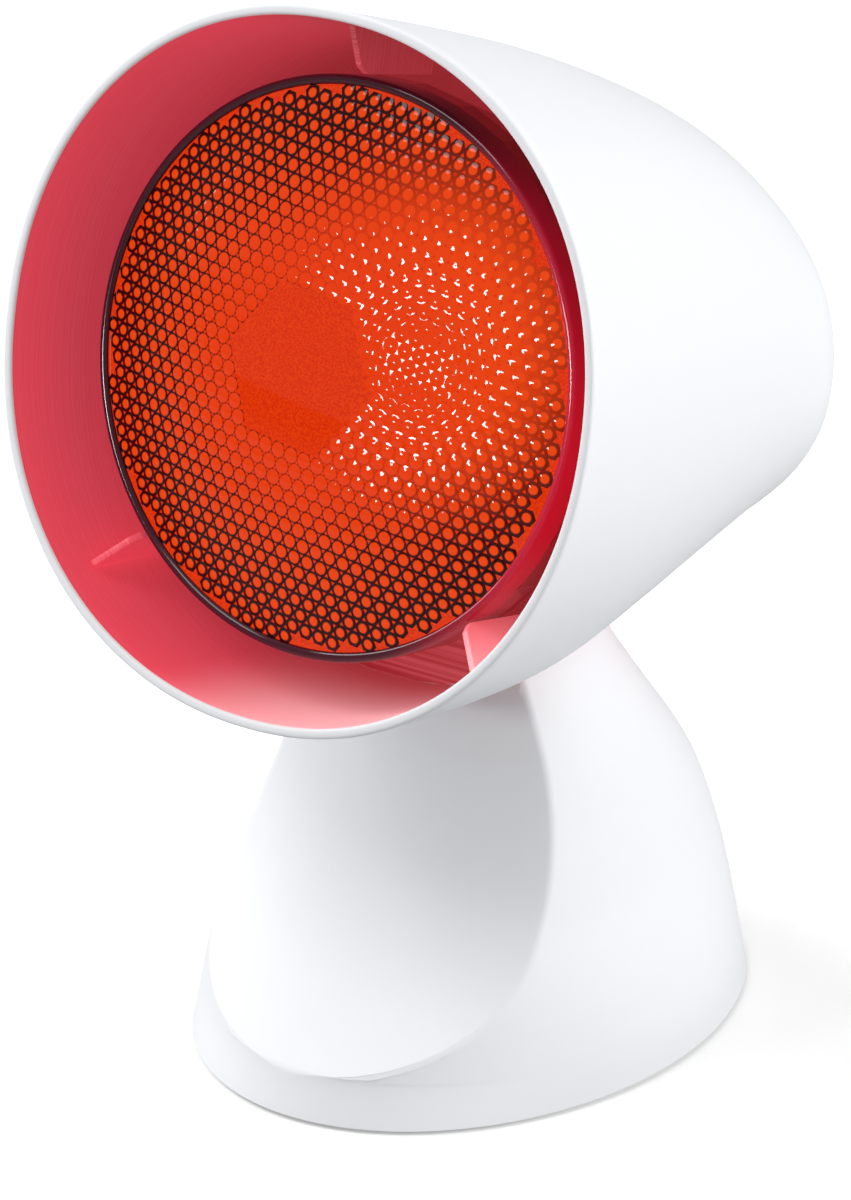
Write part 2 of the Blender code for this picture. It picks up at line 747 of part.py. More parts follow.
def build_cradle(tilt, shade, finishes):
    """Make the moulded channel over the neck, with the two ears that carry the hinge pin."""
    hood = prism(channel_outline(channel_wall, channel_drop), channel_half_width + channel_wall)
    cradle = finish("tilt_cradle", hood, finishes["white_inner"], tilt)
    combine(cradle, finish("cradle_hollow", prism(channel_outline(0.0, channel_drop * 2),
                                                  channel_half_width), None, tilt))
    for side in (-1, 1):
        centre = side * (ear_gap / 2 + ear_thickness / 2)
        turns = [math.pi + math.pi * step / ear_steps for step in range(ear_steps + 1)]
        outline = [(ear_radius * math.cos(turn), ear_radius * math.sin(turn)) for turn in turns]
        outline += [(y, hood_height(y) + channel_wall / 2) for y in (ear_radius, -ear_radius)]
        ear = finish(f"ear_{side}", prism(outline, ear_thickness / 2, centre), None, tilt)
        combine(cradle, ear, 'UNION')
    trim = finish("cradle_trim", shade_solid(shade_wall + touch_gap), None, shade)
    combine(cradle, trim, 'INTERSECT', 'MANIFOLD')
    length = ear_gap
    bore_radius = pin_radius + touch_gap
    bore = turned([(0.0, -length), (bore_radius, -length), (bore_radius, length), (0.0, length)],
                  bore_segments, 'X')
    combine(cradle, finish("ear_bore", bore, None, tilt))

    pin_end = ear_gap / 2 + ear_thickness + pin_overhang
    pin = [(0.0, -pin_end), (pin_radius, -pin_end), (pin_radius, pin_end), (0.0, pin_end)]
    finish("hinge_pin", turned(pin, bore_segments, 'X'), finishes["steel"], tilt)
    for side in (-1, 1):
        near = ear_gap / 2 + ear_thickness + touch_gap
        far = near + clip_thickness
        clip = [(pin_radius + touch_gap, near * side), (clip_radius, near * side),
                (clip_radius, far * side), (pin_radius + touch_gap, far * side)]
        label = "left" if side < 0 else "right"
        finish(f"pin_clip_{label}", turned(clip, round_segments, 'X', loop=True), finishes["steel"], tilt)
    build_click_disc(tilt, finishes)


def build_click_disc(tilt, finishes):
    """Make the notched disc of the tilt's click stops."""
    inner = pin_radius + touch_gap
    middle = -(ear_gap / 2 - touch_gap - click_disc_thickness / 2)
    pitch = math.radians(click_angle_degrees) / 2
    first = math.pi - (click_highest + 1 / 2) * 2 * pitch
    turns = [first + pitch * step for step in range(2 * click_steps + 1)]
    rest = 2 * math.pi - (turns[-1] - first)
    turns += [turns[-1] + rest * step / click_plain_steps for step in range(1, click_plain_steps)]
    rings = []
    for side in (-1, 1):
        place = middle + side * click_disc_thickness / 2
        outline, hole = [], []
        for step, turn in enumerate(turns):
            notched = step % 2 == 1 and step < 2 * click_steps
            radius = click_disc_radius - (click_notch_depth if notched else 0.0)
            outline.append((place, radius * math.cos(turn), radius * math.sin(turn)))
            hole.append((place, inner * math.cos(turn), inner * math.sin(turn)))
        rings += [hole, outline] if side < 0 else [outline, hole]
    finish("click_disc", skin(rings, loop=True), finishes["grey"], tilt)


def bell_radius(share):
    """Give the bulb's radius along its bell."""
    last = len(bulb_profile_shares) - 1
    index = 0
    while index < last - 1 and share > bulb_profile_shares[index + 1]:
        index += 1
    low, high = bulb_profile_shares[index], bulb_profile_shares[index + 1]
    place = (index + (share - low) / (high - low)) / last
    return bulb_neck_radius + spread(bulb_bell_shares, place) * (bulb_radius - bulb_neck_radius)


def build_bulb(shade, finishes):
    """Make the bulb's face, bell, metal cap, tip and filament."""
    band_end = bulb_face_depth + bulb_band_length
    seat = band_end - bulb_band_length / 2
    crown = [(0.0, bulb_face_depth - bulb_crown)]
    for step in range(1, bulb_crown_steps + 1):
        share = step / bulb_crown_steps
        crown.append((bulb_radius * lens_front_share * share,
                      bulb_face_depth - bulb_crown * (1 - share ** 2)))
    face = crown + [(bulb_radius, bulb_face_depth + bulb_glass * lens_edge_share), (bulb_radius, seat)]
    back = [(bulb_radius - bulb_glass, seat),
            (bulb_radius * lens_back_share, bulb_face_depth + bulb_glass * lens_root_share)]
    for step in range(bulb_crown_steps - 1, 0, -1):
        share = step / bulb_crown_steps
        back.append((bulb_radius * lens_back_share * share,
                     bulb_face_depth + bulb_glass - bulb_crown * (1 - share ** 2)))
    back.append((0.0, bulb_face_depth + bulb_glass - bulb_crown))
    finish("bulb_face", turned(face + back, bulb_segments), finishes["red_glass"], shade)

    bell_length = bulb_neck_depth - band_end
    outer, inner = [], []
    for share in bulb_profile_shares:
        depth = band_end + bell_length * share
        outer.append((bell_radius(share), depth))
        inner.append((bell_radius(share) - bulb_glass, depth - bulb_glass * share))
    outer = [(bulb_radius, seat + touch_gap)] + outer
    inner = [(bulb_radius - bulb_glass, seat + touch_gap)] + inner
    profile = [(0.0, outer[-1][1])] + outer[::-1] + inner + [(0.0, inner[-1][1])]
    finish("bulb_bell", turned(profile, bulb_segments), finishes["silver_glass"], shade)

    collar_start = bulb_neck_depth + touch_gap
    collar_end = collar_start + collar_length
    cap_end = cap_end_depth()
    collar_radius = bulb_neck_radius * collar_share
    cap = [(0.0, collar_start), (collar_radius, collar_start), (collar_radius, collar_end),
           (cap_radius, collar_end + cap_thread_depth)]
    thread_start = collar_end + cap_thread_depth * 2
    pitch = (cap_end - thread_start - cap_thread_depth * 4) / cap_turns
    for turn_index in range(cap_turns):
        base = thread_start + pitch * turn_index
        cap += [(cap_radius - cap_thread_depth, base + pitch * thread_root_share),
                (cap_radius, base + pitch * thread_crest_share)]
    cap += [(cap_radius * cap_end_share, cap_end), (0.0, cap_end)]
    finish("bulb_cap", turned(cap, cap_segments), finishes["brass"], shade)
    tip_start = cap_end + touch_gap
    tip = [(0.0, tip_start), (tip_radius * tip_start_share, tip_start),
           (tip_radius * tip_middle_share, tip_start + tip_length / 2),
           (tip_radius, tip_start + tip_length), (0.0, tip_start + tip_length)]
    finish("bulb_tip", turned(tip, round_segments), finishes["brass"], shade)

    coil = [(0.0, -filament_span / 2), (filament_radius, -filament_span / 2),
            (filament_radius, filament_span / 2), (0.0, filament_span / 2)]
    finish("filament", turned(coil, hole_segments, 'X'), finishes["tungsten"], shade,
           (0.0, filament_depth, 0.0))
    for side in (-1, 1):
        start = filament_depth + filament_radius + touch_gap
        end = bulb_neck_depth - bulb_glass - touch_gap
        post = [(0.0, start), (support_radius, start), (support_radius, end), (0.0, end)]
        label = "left" if side < 0 else "right"
        place = (side * (filament_span / 2 - support_radius), 0.0, 0.0)
        finish(f"filament_post_{label}", turned(post, support_segments), finishes["steel"], shade, place)


def cap_end_depth():
    """Give the depth of the bulb cap's rear end."""
    return bulb_neck_depth + touch_gap + collar_length + cap_length


def tip_end_depth():
    """Give the depth of the bulb tip's rear end."""
    return cap_end_depth() + touch_gap + tip_length


def holder_back():
    """Give the depth of the lamp holder's rear face."""
    return tip_end_depth() + touch_gap * 2 + contact_thickness + holder_floor


def build_holder(shade, finishes):
    """Make the ceramic lamp holder, its contact, its bracket and the bracket's screws."""
    front = bulb_neck_depth + touch_gap + collar_length + holder_front_gap
    bore = cap_radius + holder_bore_clearance
    floor = holder_back() - holder_floor
    back = holder_back()
    profile = [(0.0, floor), (bore, floor), (bore, front), (holder_radius * holder_front_share, front),
               (holder_radius, front + holder_chamfer), (holder_radius, back - holder_floor),
               (holder_radius * holder_back_share, back), (0.0, back)]
    finish("lamp_holder", turned(profile, holder_segments), finishes["ceramic"], shade)
    contact = block(contact_width, contact_thickness, contact_length,
                    (0.0, floor - touch_gap - contact_thickness / 2, 0.0))
    finish("centre_contact", contact, finishes["brass"], shade)

    start = back + touch_gap
    plate = block(bracket_width, bracket_thickness, bracket_height,
                  (0.0, start + bracket_thickness / 2, -shade_drop))
    bracket = finish("holder_bracket", plate, finishes["steel"], shade)
    for side in (-1, 1):
        spot = (side * bracket_screw_spread / 2, 0.0, -shade_drop)
        radius = screw_radius + screw_pilot_clearance
        hole = turned([(0.0, start - cut_overrun), (radius, start - cut_overrun),
                       (radius, start + cut_overrun), (0.0, start + cut_overrun)], hole_segments)
        combine(bracket, finish(f"bracket_hole_{side}", hole, None, shade, spot))
        label = "left" if side < 0 else "right"
        place = (spot[0], start - touch_gap, spot[2])
        screw(f"bracket_screw_{label}", finishes["steel"], shade, place, (-math.pi / 2, 0.0, 0.0),
              bracket_screw_length)


def make_finishes():
    """Make the lamp's finishes."""
    return {
        "white": make_material("white_plastic", (0.86, 0.87, 0.88), 0.38),
        "white_inner": make_material("inner_plastic", (0.80, 0.80, 0.78), 0.55),
        "grey": make_material("grey_plastic", (0.32, 0.33, 0.35), 0.6),
        "black": make_material("black_plastic", (0.02, 0.02, 0.022), 0.4),
        "rubber": make_material("foot_rubber", (0.05, 0.05, 0.05), 0.85),
        "red_glass": make_material("red_glass", (0.85, 0.06, 0.01), 0.12),
        "silver_glass": make_material("silvered_glass", (0.55, 0.10, 0.08), 0.2, 0.4),
        "brass": make_material("cap_metal", (0.78, 0.66, 0.38), 0.3, 1.0),
        "steel": make_material("steel", (0.62, 0.63, 0.65), 0.35, 1.0),
        "tungsten": make_material("tungsten", (0.35, 0.35, 0.37), 0.5, 1.0),
        "ceramic": make_material("ceramic", (0.88, 0.86, 0.82), 0.45),
    }


def main():
    """Build the whole lamp."""
    clear_scene()
    finishes = make_finishes()
    root = make_empty("stand_root", (0.0, -frame_middle(), 0.0))
    tilt = make_empty("tilt_axis", (0.0, hinge_y, hinge_z), 0.0, root)
    shade = make_empty("shade_axis", (0.0, -rim_centre_forward - hinge_y, rim_centre_rise), -rest_tilt, tilt)
    shell = build_stand(root, finishes)
    build_plate(root, finishes)
    build_neck_seat(root, finishes)
    build_click_leaf(root, finishes)
    build_switch(root, finishes, shell)
    build_wiring(root, finishes, shell)
    build_shade(tilt, shade, finishes)
    build_cradle(tilt, shade, finishes)
    build_bulb(shade, finishes)
    build_holder(shade, finishes)


main()
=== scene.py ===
"""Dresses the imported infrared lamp: smooth mouldings, the lit lens and the finish of every piece."""

import json
import logging
import math
from dataclasses import dataclass
from enum import Enum
from typing import Callable, Sequence

import bmesh
import bpy
from mathutils import Matrix, Vector


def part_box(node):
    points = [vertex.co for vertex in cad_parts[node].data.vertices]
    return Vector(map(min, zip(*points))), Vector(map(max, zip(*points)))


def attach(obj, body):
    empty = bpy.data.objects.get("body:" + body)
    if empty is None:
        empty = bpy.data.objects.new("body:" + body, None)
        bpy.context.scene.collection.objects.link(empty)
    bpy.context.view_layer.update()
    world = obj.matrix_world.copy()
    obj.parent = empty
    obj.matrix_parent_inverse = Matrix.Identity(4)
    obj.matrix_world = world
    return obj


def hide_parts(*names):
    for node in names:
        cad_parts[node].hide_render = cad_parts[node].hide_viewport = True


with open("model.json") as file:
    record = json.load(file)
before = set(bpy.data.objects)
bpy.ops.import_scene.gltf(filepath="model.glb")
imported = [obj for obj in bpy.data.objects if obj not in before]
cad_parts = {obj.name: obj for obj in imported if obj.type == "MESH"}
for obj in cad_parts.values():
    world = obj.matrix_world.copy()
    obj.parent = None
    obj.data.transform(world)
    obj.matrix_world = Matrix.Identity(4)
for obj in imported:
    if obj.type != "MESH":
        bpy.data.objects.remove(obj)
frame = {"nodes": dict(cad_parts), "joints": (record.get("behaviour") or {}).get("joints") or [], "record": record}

log = logging.getLogger("lamp")
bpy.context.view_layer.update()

RingShape = Callable[[float], Vector]
Bands = list[list[bmesh.types.BMFace]]
Socket = bpy.types.NodeSocket
Triple = tuple[float, float, float]
Span = tuple[float, float]

FULL_TURN = 2 * math.pi
MERGE_DISTANCE = 0.000002
SAME_PLACE = 0.0001
SHARP_DEGREES = 32.0
MOTTLE_SPAN = (0.3, 0.7)
NOISE_MAKES = {"Grain": (3.0, 0.6), "Mottle": (4.0, 0.5)}  # detail and roughness of each noise


class Slot(Enum):
    """Material slots of the record, one for each finish of the lamp."""

    WHITE = "white_plastic"
    INNER = "inner_plastic"
    GREY = "grey_plastic"
    BLACK = "black_plastic"
    RUBBER = "foot_rubber"
    RED_GLASS = "red_glass"
    SILVERED = "silvered_glass"
    CAP = "cap_metal"
    STEEL = "steel"
    TUNGSTEN = "tungsten"
    CERAMIC = "ceramic"


class Body(Enum):
    """Rigid bodies that pieces ride on."""

    STAND = "stand"
    HEAD = "head"
    ROCKER = "rocker"


@dataclass(frozen=True)
class Place:
    """Where the lamp's main forms stand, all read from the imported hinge.

    Attributes:
        hinge: middle of the tilt hinge.
        stand_behind_hinge: how far the middle of the stand lies in front of the hinge.
        rim_ahead: how far the middle of the shade's rim lies in front of the hinge.
        rim_above: how far it lies above the hinge.
        tilt: how far the shade's axis points upwards, in radians.
    """

    hinge: Vector
    stand_behind_hinge: float = 0.0050
    rim_ahead: float = 0.0711
    rim_above: float = 0.0684
    tilt: float = math.radians(12.75)

    @property
    def stand_middle(self) -> Vector:
        """Point on the floor in the middle of the stand."""
        return Vector((0.0, self.hinge.y - self.stand_behind_hinge, 0.0))

    @property
    def shade_matrix(self) -> Matrix:
        """Matrix from the shade's own axes, +Y backwards from its rim, to the lamp's frame."""
        rim = Vector((0.0, self.hinge.y - self.rim_ahead, self.hinge.z + self.rim_above))
        return Matrix.Translation(rim) @ Matrix.Rotation(-self.tilt, 4, 'X')


def read_place() -> Place:
    """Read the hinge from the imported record.

    Returns:
        The lamp's main places.
    """
    joints = {joint["name"]: joint for joint in frame["joints"]}
    return Place(Vector(joints["head_tilt"]["pos_m"]))


class NodeSheet:
    """Node tree of a material or a group, with short ways to add and join nodes."""

    def __init__(self, tree: bpy.types.NodeTree) -> None:
        """Keep the tree."""
        self.tree = tree

    def add(self, kind: str, **values: object) -> bpy.types.Node:
        """Add a node.

        Args:
            kind: node type, such as ShaderNodeMath.
            values: the node's properties by name.

        Returns:
            The new node.
        """
        node = self.tree.nodes.new(kind)
        for name, value in values.items():
            setattr(node, name, value)
        return node

    def join(self, source: Socket, target: Socket) -> None:
        """Link one socket to another."""
        self.tree.links.new(source, target)

    def math(self, operation: str, first: Socket | float, second: Socket | float = 0.0) -> Socket:
        """Add a math node.

        Args:
            operation: what the node does, such as MULTIPLY.
            first: its first value.
            second: its second value, where it takes two.

        Returns:
            The node's result.
        """
        node = self.add("ShaderNodeMath", operation=operation)
        for socket, value in zip(node.inputs, (first, second)):
            if isinstance(value, Socket):
                self.join(value, socket)
            else:
                socket.default_value = value
        return node.outputs[0]

    def spread(self, value: Socket, span: Span, target: Span = (0.0, 1.0), smooth: bool = True) -> Socket:
        """Map a value from one range to another.

        Args:
            value: what is mapped.
            span: range that it comes from, which may run downwards.
            target: range that it goes to.
            smooth: whether the step is eased at both ends.

        Returns:
            The mapped value.
        """
        node = self.add("ShaderNodeMapRange", interpolation_type='SMOOTHSTEP' if smooth else 'LINEAR')
        self.join(value, node.inputs["Value"])
        for name, number in zip(("From Min", "From Max", "To Min", "To Max"), (*span, *target)):
            node.inputs[name].default_value = number
        return node.outputs["Result"]

    def blend(self, mask: Socket, first: Socket | Triple, second: Socket | Triple) -> Socket:
        """Mix two colours.

        Args:
            mask: share of the second colour.
            first: colour where the mask is 0.
            second: colour where the mask is 1.

        Returns:
            The mixed colour.
        """
        node = self.add("ShaderNodeMix", data_type='RGBA')
        self.join(mask, node.inputs[0])
        for socket, value in zip((node.inputs[6], node.inputs[7]), (first, second)):
            if isinstance(value, Socket):
                self.join(value, socket)
            else:
                socket.default_value = (*value, 1.0)
        return node.outputs[2]

    def level(self, value: float) -> Socket:
        """Give a constant value."""
        node = self.add("ShaderNodeValue")
        node.outputs[0].default_value = value
        return node.outputs[0]

    def place(self, matrix: Matrix) -> Socket:
        """Give object coordinates measured in another set of axes.

        Args:
            matrix: from those axes to the object's own.

        Returns:
            The point in those axes.
        """
        coordinates = self.add("ShaderNodeTexCoord")
        back = matrix.inverted()
        mapping = self.add("ShaderNodeMapping")
        mapping.inputs["Location"].default_value = back.to_translation()
        mapping.inputs["Rotation"].default_value = back.to_euler()
        self.join(coordinates.outputs["Object"], mapping.inputs["Vector"])
        return mapping.outputs["Vector"]

    def split(self, spot: Socket) -> tuple[Socket, ...]:
        """Split a point into its X, Y and Z."""
        node = self.add("ShaderNodeSeparateXYZ")
        self.join(spot, node.inputs[0])
        return tuple(node.outputs)


def moulded_surface() -> bpy.types.ShaderNodeTree:
    """Build the shared group for the skin of moulded and cast pieces.

    Returns:
        A group with a fine grain height and a slow mottle, both from object coordinates.
    """
    name = "moulded_surface"
    if name in bpy.data.node_groups:
        return bpy.data.node_groups[name]
    group = bpy.data.node_groups.new(name, "ShaderNodeTree")
    for title in NOISE_MAKES:
        group.interface.new_socket(f"{title} Scale", in_out='INPUT', socket_type='NodeSocketFloat')
    for title in NOISE_MAKES:
        group.interface.new_socket(title, in_out='OUTPUT', socket_type='NodeSocketFloat')
    sheet = NodeSheet(group)
    inputs = sheet.add("NodeGroupInput")
    outputs = sheet.add("NodeGroupOutput")
    coordinates = sheet.add("ShaderNodeTexCoord")
    for title, (detail, roughness) in NOISE_MAKES.items():
        noise = sheet.add("ShaderNodeTexNoise")
        noise.inputs["Detail"].default_value = detail
        noise.inputs["Roughness"].default_value = roughness
        sheet.join(coordinates.outputs["Object"], noise.inputs["Vector"])
        sheet.join(inputs.outputs[f"{title} Scale"], noise.inputs["Scale"])
        sheet.join(noise.outputs["Fac"], outputs.inputs[title])
    return group


def start_material(name: str,
                   values: dict[str, float]) -> tuple[bpy.types.Material, NodeSheet, bpy.types.Node]:
    """Start a material with the plain values of its shader.

    Args:
        name: the material's name.
        values: values of the shader's inputs, by the inputs' names.

    Returns:
        The material, its node sheet and its shader.
    """
    material = bpy.data.materials.new(name)
    material.use_nodes = True
    shader = material.node_tree.nodes["Principled BSDF"]
    for title, value in values.items():
        shader.inputs[title].default_value = value
    return material, NodeSheet(material.node_tree), shader


@dataclass(frozen=True)
class Finish:
    """Plain finish of one material slot.

    Attributes:
        slot: the record's slot.
        color: base colour.
        shade: how much darker the mottle's low places are.
        roughness: middle roughness.
        roughness_spread: how far roughness wanders.
        metallic: metallic value.
        coat: clear coat weight.
        specular: specular level.
        grain_scale: fineness of the grain.
        grain_depth: depth of the grain in metres.
        mottle_scale: fineness of the mottle.
    """

    slot: Slot
    color: tuple[float, float, float]
    shade: float = 0.04
    roughness: float = 0.4
    roughness_spread: float = 0.06
    metallic: float = 0.0
    coat: float = 0.0
    specular: float = 0.5
    grain_scale: float = 1600.0
    grain_depth: float = 0.00001
    mottle_scale: float = 30.0

    def material(self) -> bpy.types.Material:
        """Build the finish's material.

        Returns:
            The material, made once.
        """
        name = f"{self.slot.value}_finish"
        if name in bpy.data.materials:
            return bpy.data.materials[name]
        material, sheet, shader = start_material(name, {
            "Metallic": self.metallic, "Coat Weight": self.coat, "Specular IOR Level": self.specular})
        surface = sheet.add("ShaderNodeGroup", node_tree=moulded_surface())
        surface.inputs["Grain Scale"].default_value = self.grain_scale
        surface.inputs["Mottle Scale"].default_value = self.mottle_scale
        mottle = surface.outputs["Mottle"]
        low = tuple(channel * (1 - self.shade) for channel in self.color)
        color = sheet.blend(sheet.spread(mottle, MOTTLE_SPAN), low, self.color)
        sheet.join(color, shader.inputs["Base Color"])
        half = self.roughness_spread / 2
        rough = sheet.spread(mottle, MOTTLE_SPAN, (self.roughness + half, self.roughness - half))
        sheet.join(rough, shader.inputs["Roughness"])
        bump = sheet.add("ShaderNodeBump")
        bump.inputs["Distance"].default_value = self.grain_depth
        bump.inputs["Strength"].default_value = 1.0
        sheet.join(surface.outputs["Grain"], bump.inputs["Height"])
        sheet.join(bump.outputs["Normal"], shader.inputs["Normal"])
        return material


FINISHES: dict[Slot, Finish] = {finish.slot: finish for finish in (
    Finish(Slot.WHITE, (0.86, 0.875, 0.90), shade=0.010, roughness=0.50, roughness_spread=0.04,
           specular=0.22),
    Finish(Slot.INNER, (0.76, 0.76, 0.74), roughness=0.55, grain_scale=900.0, grain_depth=0.00003),
    Finish(Slot.GREY, (0.24, 0.25, 0.27), roughness=0.6, grain_scale=700.0, grain_depth=0.00005),
    Finish(Slot.BLACK, (0.018, 0.018, 0.02), shade=0.2, roughness=0.38, coat=0.1),
    Finish(Slot.RUBBER, (0.035, 0.035, 0.036), shade=0.25, roughness=0.82, grain_scale=500.0,
           grain_depth=0.00006),
    Finish(Slot.SILVERED, (0.42, 0.05, 0.06), shade=0.3, roughness=0.22, metallic=0.35, coat=0.6,
           grain_depth=0.0),
    Finish(Slot.CAP, (0.74, 0.62, 0.36), shade=0.15, roughness=0.32, metallic=1.0),
    Finish(Slot.STEEL, (0.60, 0.61, 0.63), shade=0.1, roughness=0.34, metallic=1.0, mottle_scale=200.0),
    Finish(Slot.TUNGSTEN, (0.33, 0.33, 0.35), roughness=0.5, metallic=1.0),
    Finish(Slot.CERAMIC, (0.84, 0.82, 0.78), shade=0.05, roughness=0.4, coat=0.3),
)}


def swept_rings(count: int, shapes: Sequence[RingShape]) -> tuple[bmesh.types.BMesh, Bands]:
    """Extrude a ring of edges through a row of ring shapes.

    Args:
        count: vertices in each ring.
        shapes: for each ring, the point at a share of the way round.

    Returns:
        The mesh and the faces of each band.
    """
    bm = bmesh.new()
    share_of = bm.verts.layers.float.new("share")
    bmesh.ops.create_circle(bm, cap_ends=False, segments=count, radius=1.0)
    for vertex in bm.verts:
        vertex[share_of] = (math.atan2(vertex.co.y, vertex.co.x) / FULL_TURN) % 1.0
    for vertex in bm.verts:
        vertex.co = shapes[0](vertex[share_of])
    edges = list(bm.edges)
    bands: Bands = []
    for shape in shapes[1:]:
        grown = bmesh.ops.extrude_edge_only(bm, edges=edges)["geom"]
        edges = [item for item in grown if isinstance(item, bmesh.types.BMEdge)]
        for vertex in (item for item in grown if isinstance(item, bmesh.types.BMVert)):
            vertex.co = shape(vertex[share_of])
        bands.append([item for item in grown if isinstance(item, bmesh.types.BMFace)])
    return bm, bands


def close_up(bm: bmesh.types.BMesh) -> None:
    """Merge what coincides and point the faces outwards.

    Args:
        bm: mesh that is cleaned.
    """
    bmesh.ops.remove_doubles(bm, verts=bm.verts, dist=MERGE_DISTANCE)
    bmesh.ops.recalc_face_normals(bm, faces=bm.faces)


def make_piece(name: str, bm: bmesh.types.BMesh, materials: Sequence[bpy.types.Material],
               sharp_degrees: float = SHARP_DEGREES) -> bpy.types.Object:
    """Make a smooth piece whose place is in its mesh.

    Args:
        name: the piece's name.
        bm: its mesh, which is freed.
        materials: its materials in order.
        sharp_degrees: angle past which an edge stays sharp.

    Returns:
        The piece.
    """
    if "share" in bm.verts.layers.float:
        bm.verts.layers.float.remove(bm.verts.layers.float["share"])
    mesh = bpy.data.meshes.new(name)
    bm.to_mesh(mesh)
    bm.free()
    mesh.shade_smooth()
    mesh.set_sharp_from_angle(angle=math.radians(sharp_degrees))
    for material in materials:
        mesh.materials.append(material)
    piece = bpy.data.objects.new(name, mesh)
    bpy.context.scene.collection.objects.link(piece)
    return piece


def carve(piece: bpy.types.Object, tools: Sequence[bmesh.types.BMesh]) -> None:
    """Cut tools out of a piece for good.

    Args:
        piece: what is cut.
        tools: closed meshes, which are freed.
    """
    helpers = []
    for index, tool in enumerate(tools):
        helper = make_piece(f"tool_{index}", tool, [])
        step = piece.modifiers.new(f"cut_{index}", 'BOOLEAN')
        step.object = helper
        step.operation = 'DIFFERENCE'
        step.solver = 'EXACT'
        helpers.append(helper)
    bpy.context.view_layer.update()
    graph = bpy.context.evaluated_depsgraph_get()
    mesh = bpy.data.meshes.new_from_object(piece.evaluated_get(graph))
    piece.modifiers.clear()
    piece.data = mesh
    mesh.shade_smooth()
    mesh.set_sharp_from_angle(angle=math.radians(SHARP_DEGREES))
    for helper in helpers:
        bpy.data.objects.remove(helper, do_unlink=True)


def box_tool(size: Triple, centre: Vector, matrix: Matrix | None = None) -> bmesh.types.BMesh:
    """Make a box that cuts.

    Args:
        size: its width, depth and height.
        centre: its middle.
        matrix: from the axes of size and centre to the lamp's frame, where they differ.

    Returns:
        The box's mesh.
    """
    bm = bmesh.new()
    bmesh.ops.create_cube(bm, size=1.0)
    bmesh.ops.scale(bm, vec=size, verts=bm.verts)
    bmesh.ops.translate(bm, vec=centre, verts=bm.verts)
    if matrix is not None:
        bmesh.ops.transform(bm, matrix=matrix, verts=bm.verts)
    return bm


def add_prism(bm: bmesh.types.BMesh, outline: Sequence[Span], half_width: float) -> list[bmesh.types.BMVert]:
    """Add a side outline that is extruded across the width.

    Args:
        bm: mesh that it is added to.
        outline: the outline's (y, z) points.
        half_width: half its width.

    Returns:
        The vertices of the prism.
    """
    near = [bm.verts.new((-half_width, y, z)) for y, z in outline]
    grown = bmesh.ops.extrude_face_region(bm, geom=[bm.faces.new(near)])["geom"]
    far = [item for item in grown if isinstance(item, bmesh.types.BMVert)]
    bmesh.ops.translate(bm, vec=(2 * half_width, 0.0, 0.0), verts=far)
    return near + far


def spread_share(shares: Sequence[float], place: float) -> float:
    """Read a table of shares, with a smooth curve through its values.

    Args:
        shares: values at even steps.
        place: place in the table, from 0 to 1.

    Returns:
        The share at that place.
    """
    last = len(shares) - 1
    at = min(max(place, 0.0), 1.0) * last
    index = min(int(at), last - 1)
    t = at - index
    low, high = shares[index], shares[index + 1]
    slope_low = (high - shares[max(index - 1, 0)]) / (2 if index > 0 else 1)
    slope_high = (shares[min(index + 2, last)] - low) / (2 if index + 2 <= last else 1)
    square, cube = t * t, t * t * t
    return ((2 * cube - 3 * square + 1) * low + (cube - 2 * square + t) * slope_low
            + (3 * square - 2 * cube) * high + (cube - square) * slope_high)


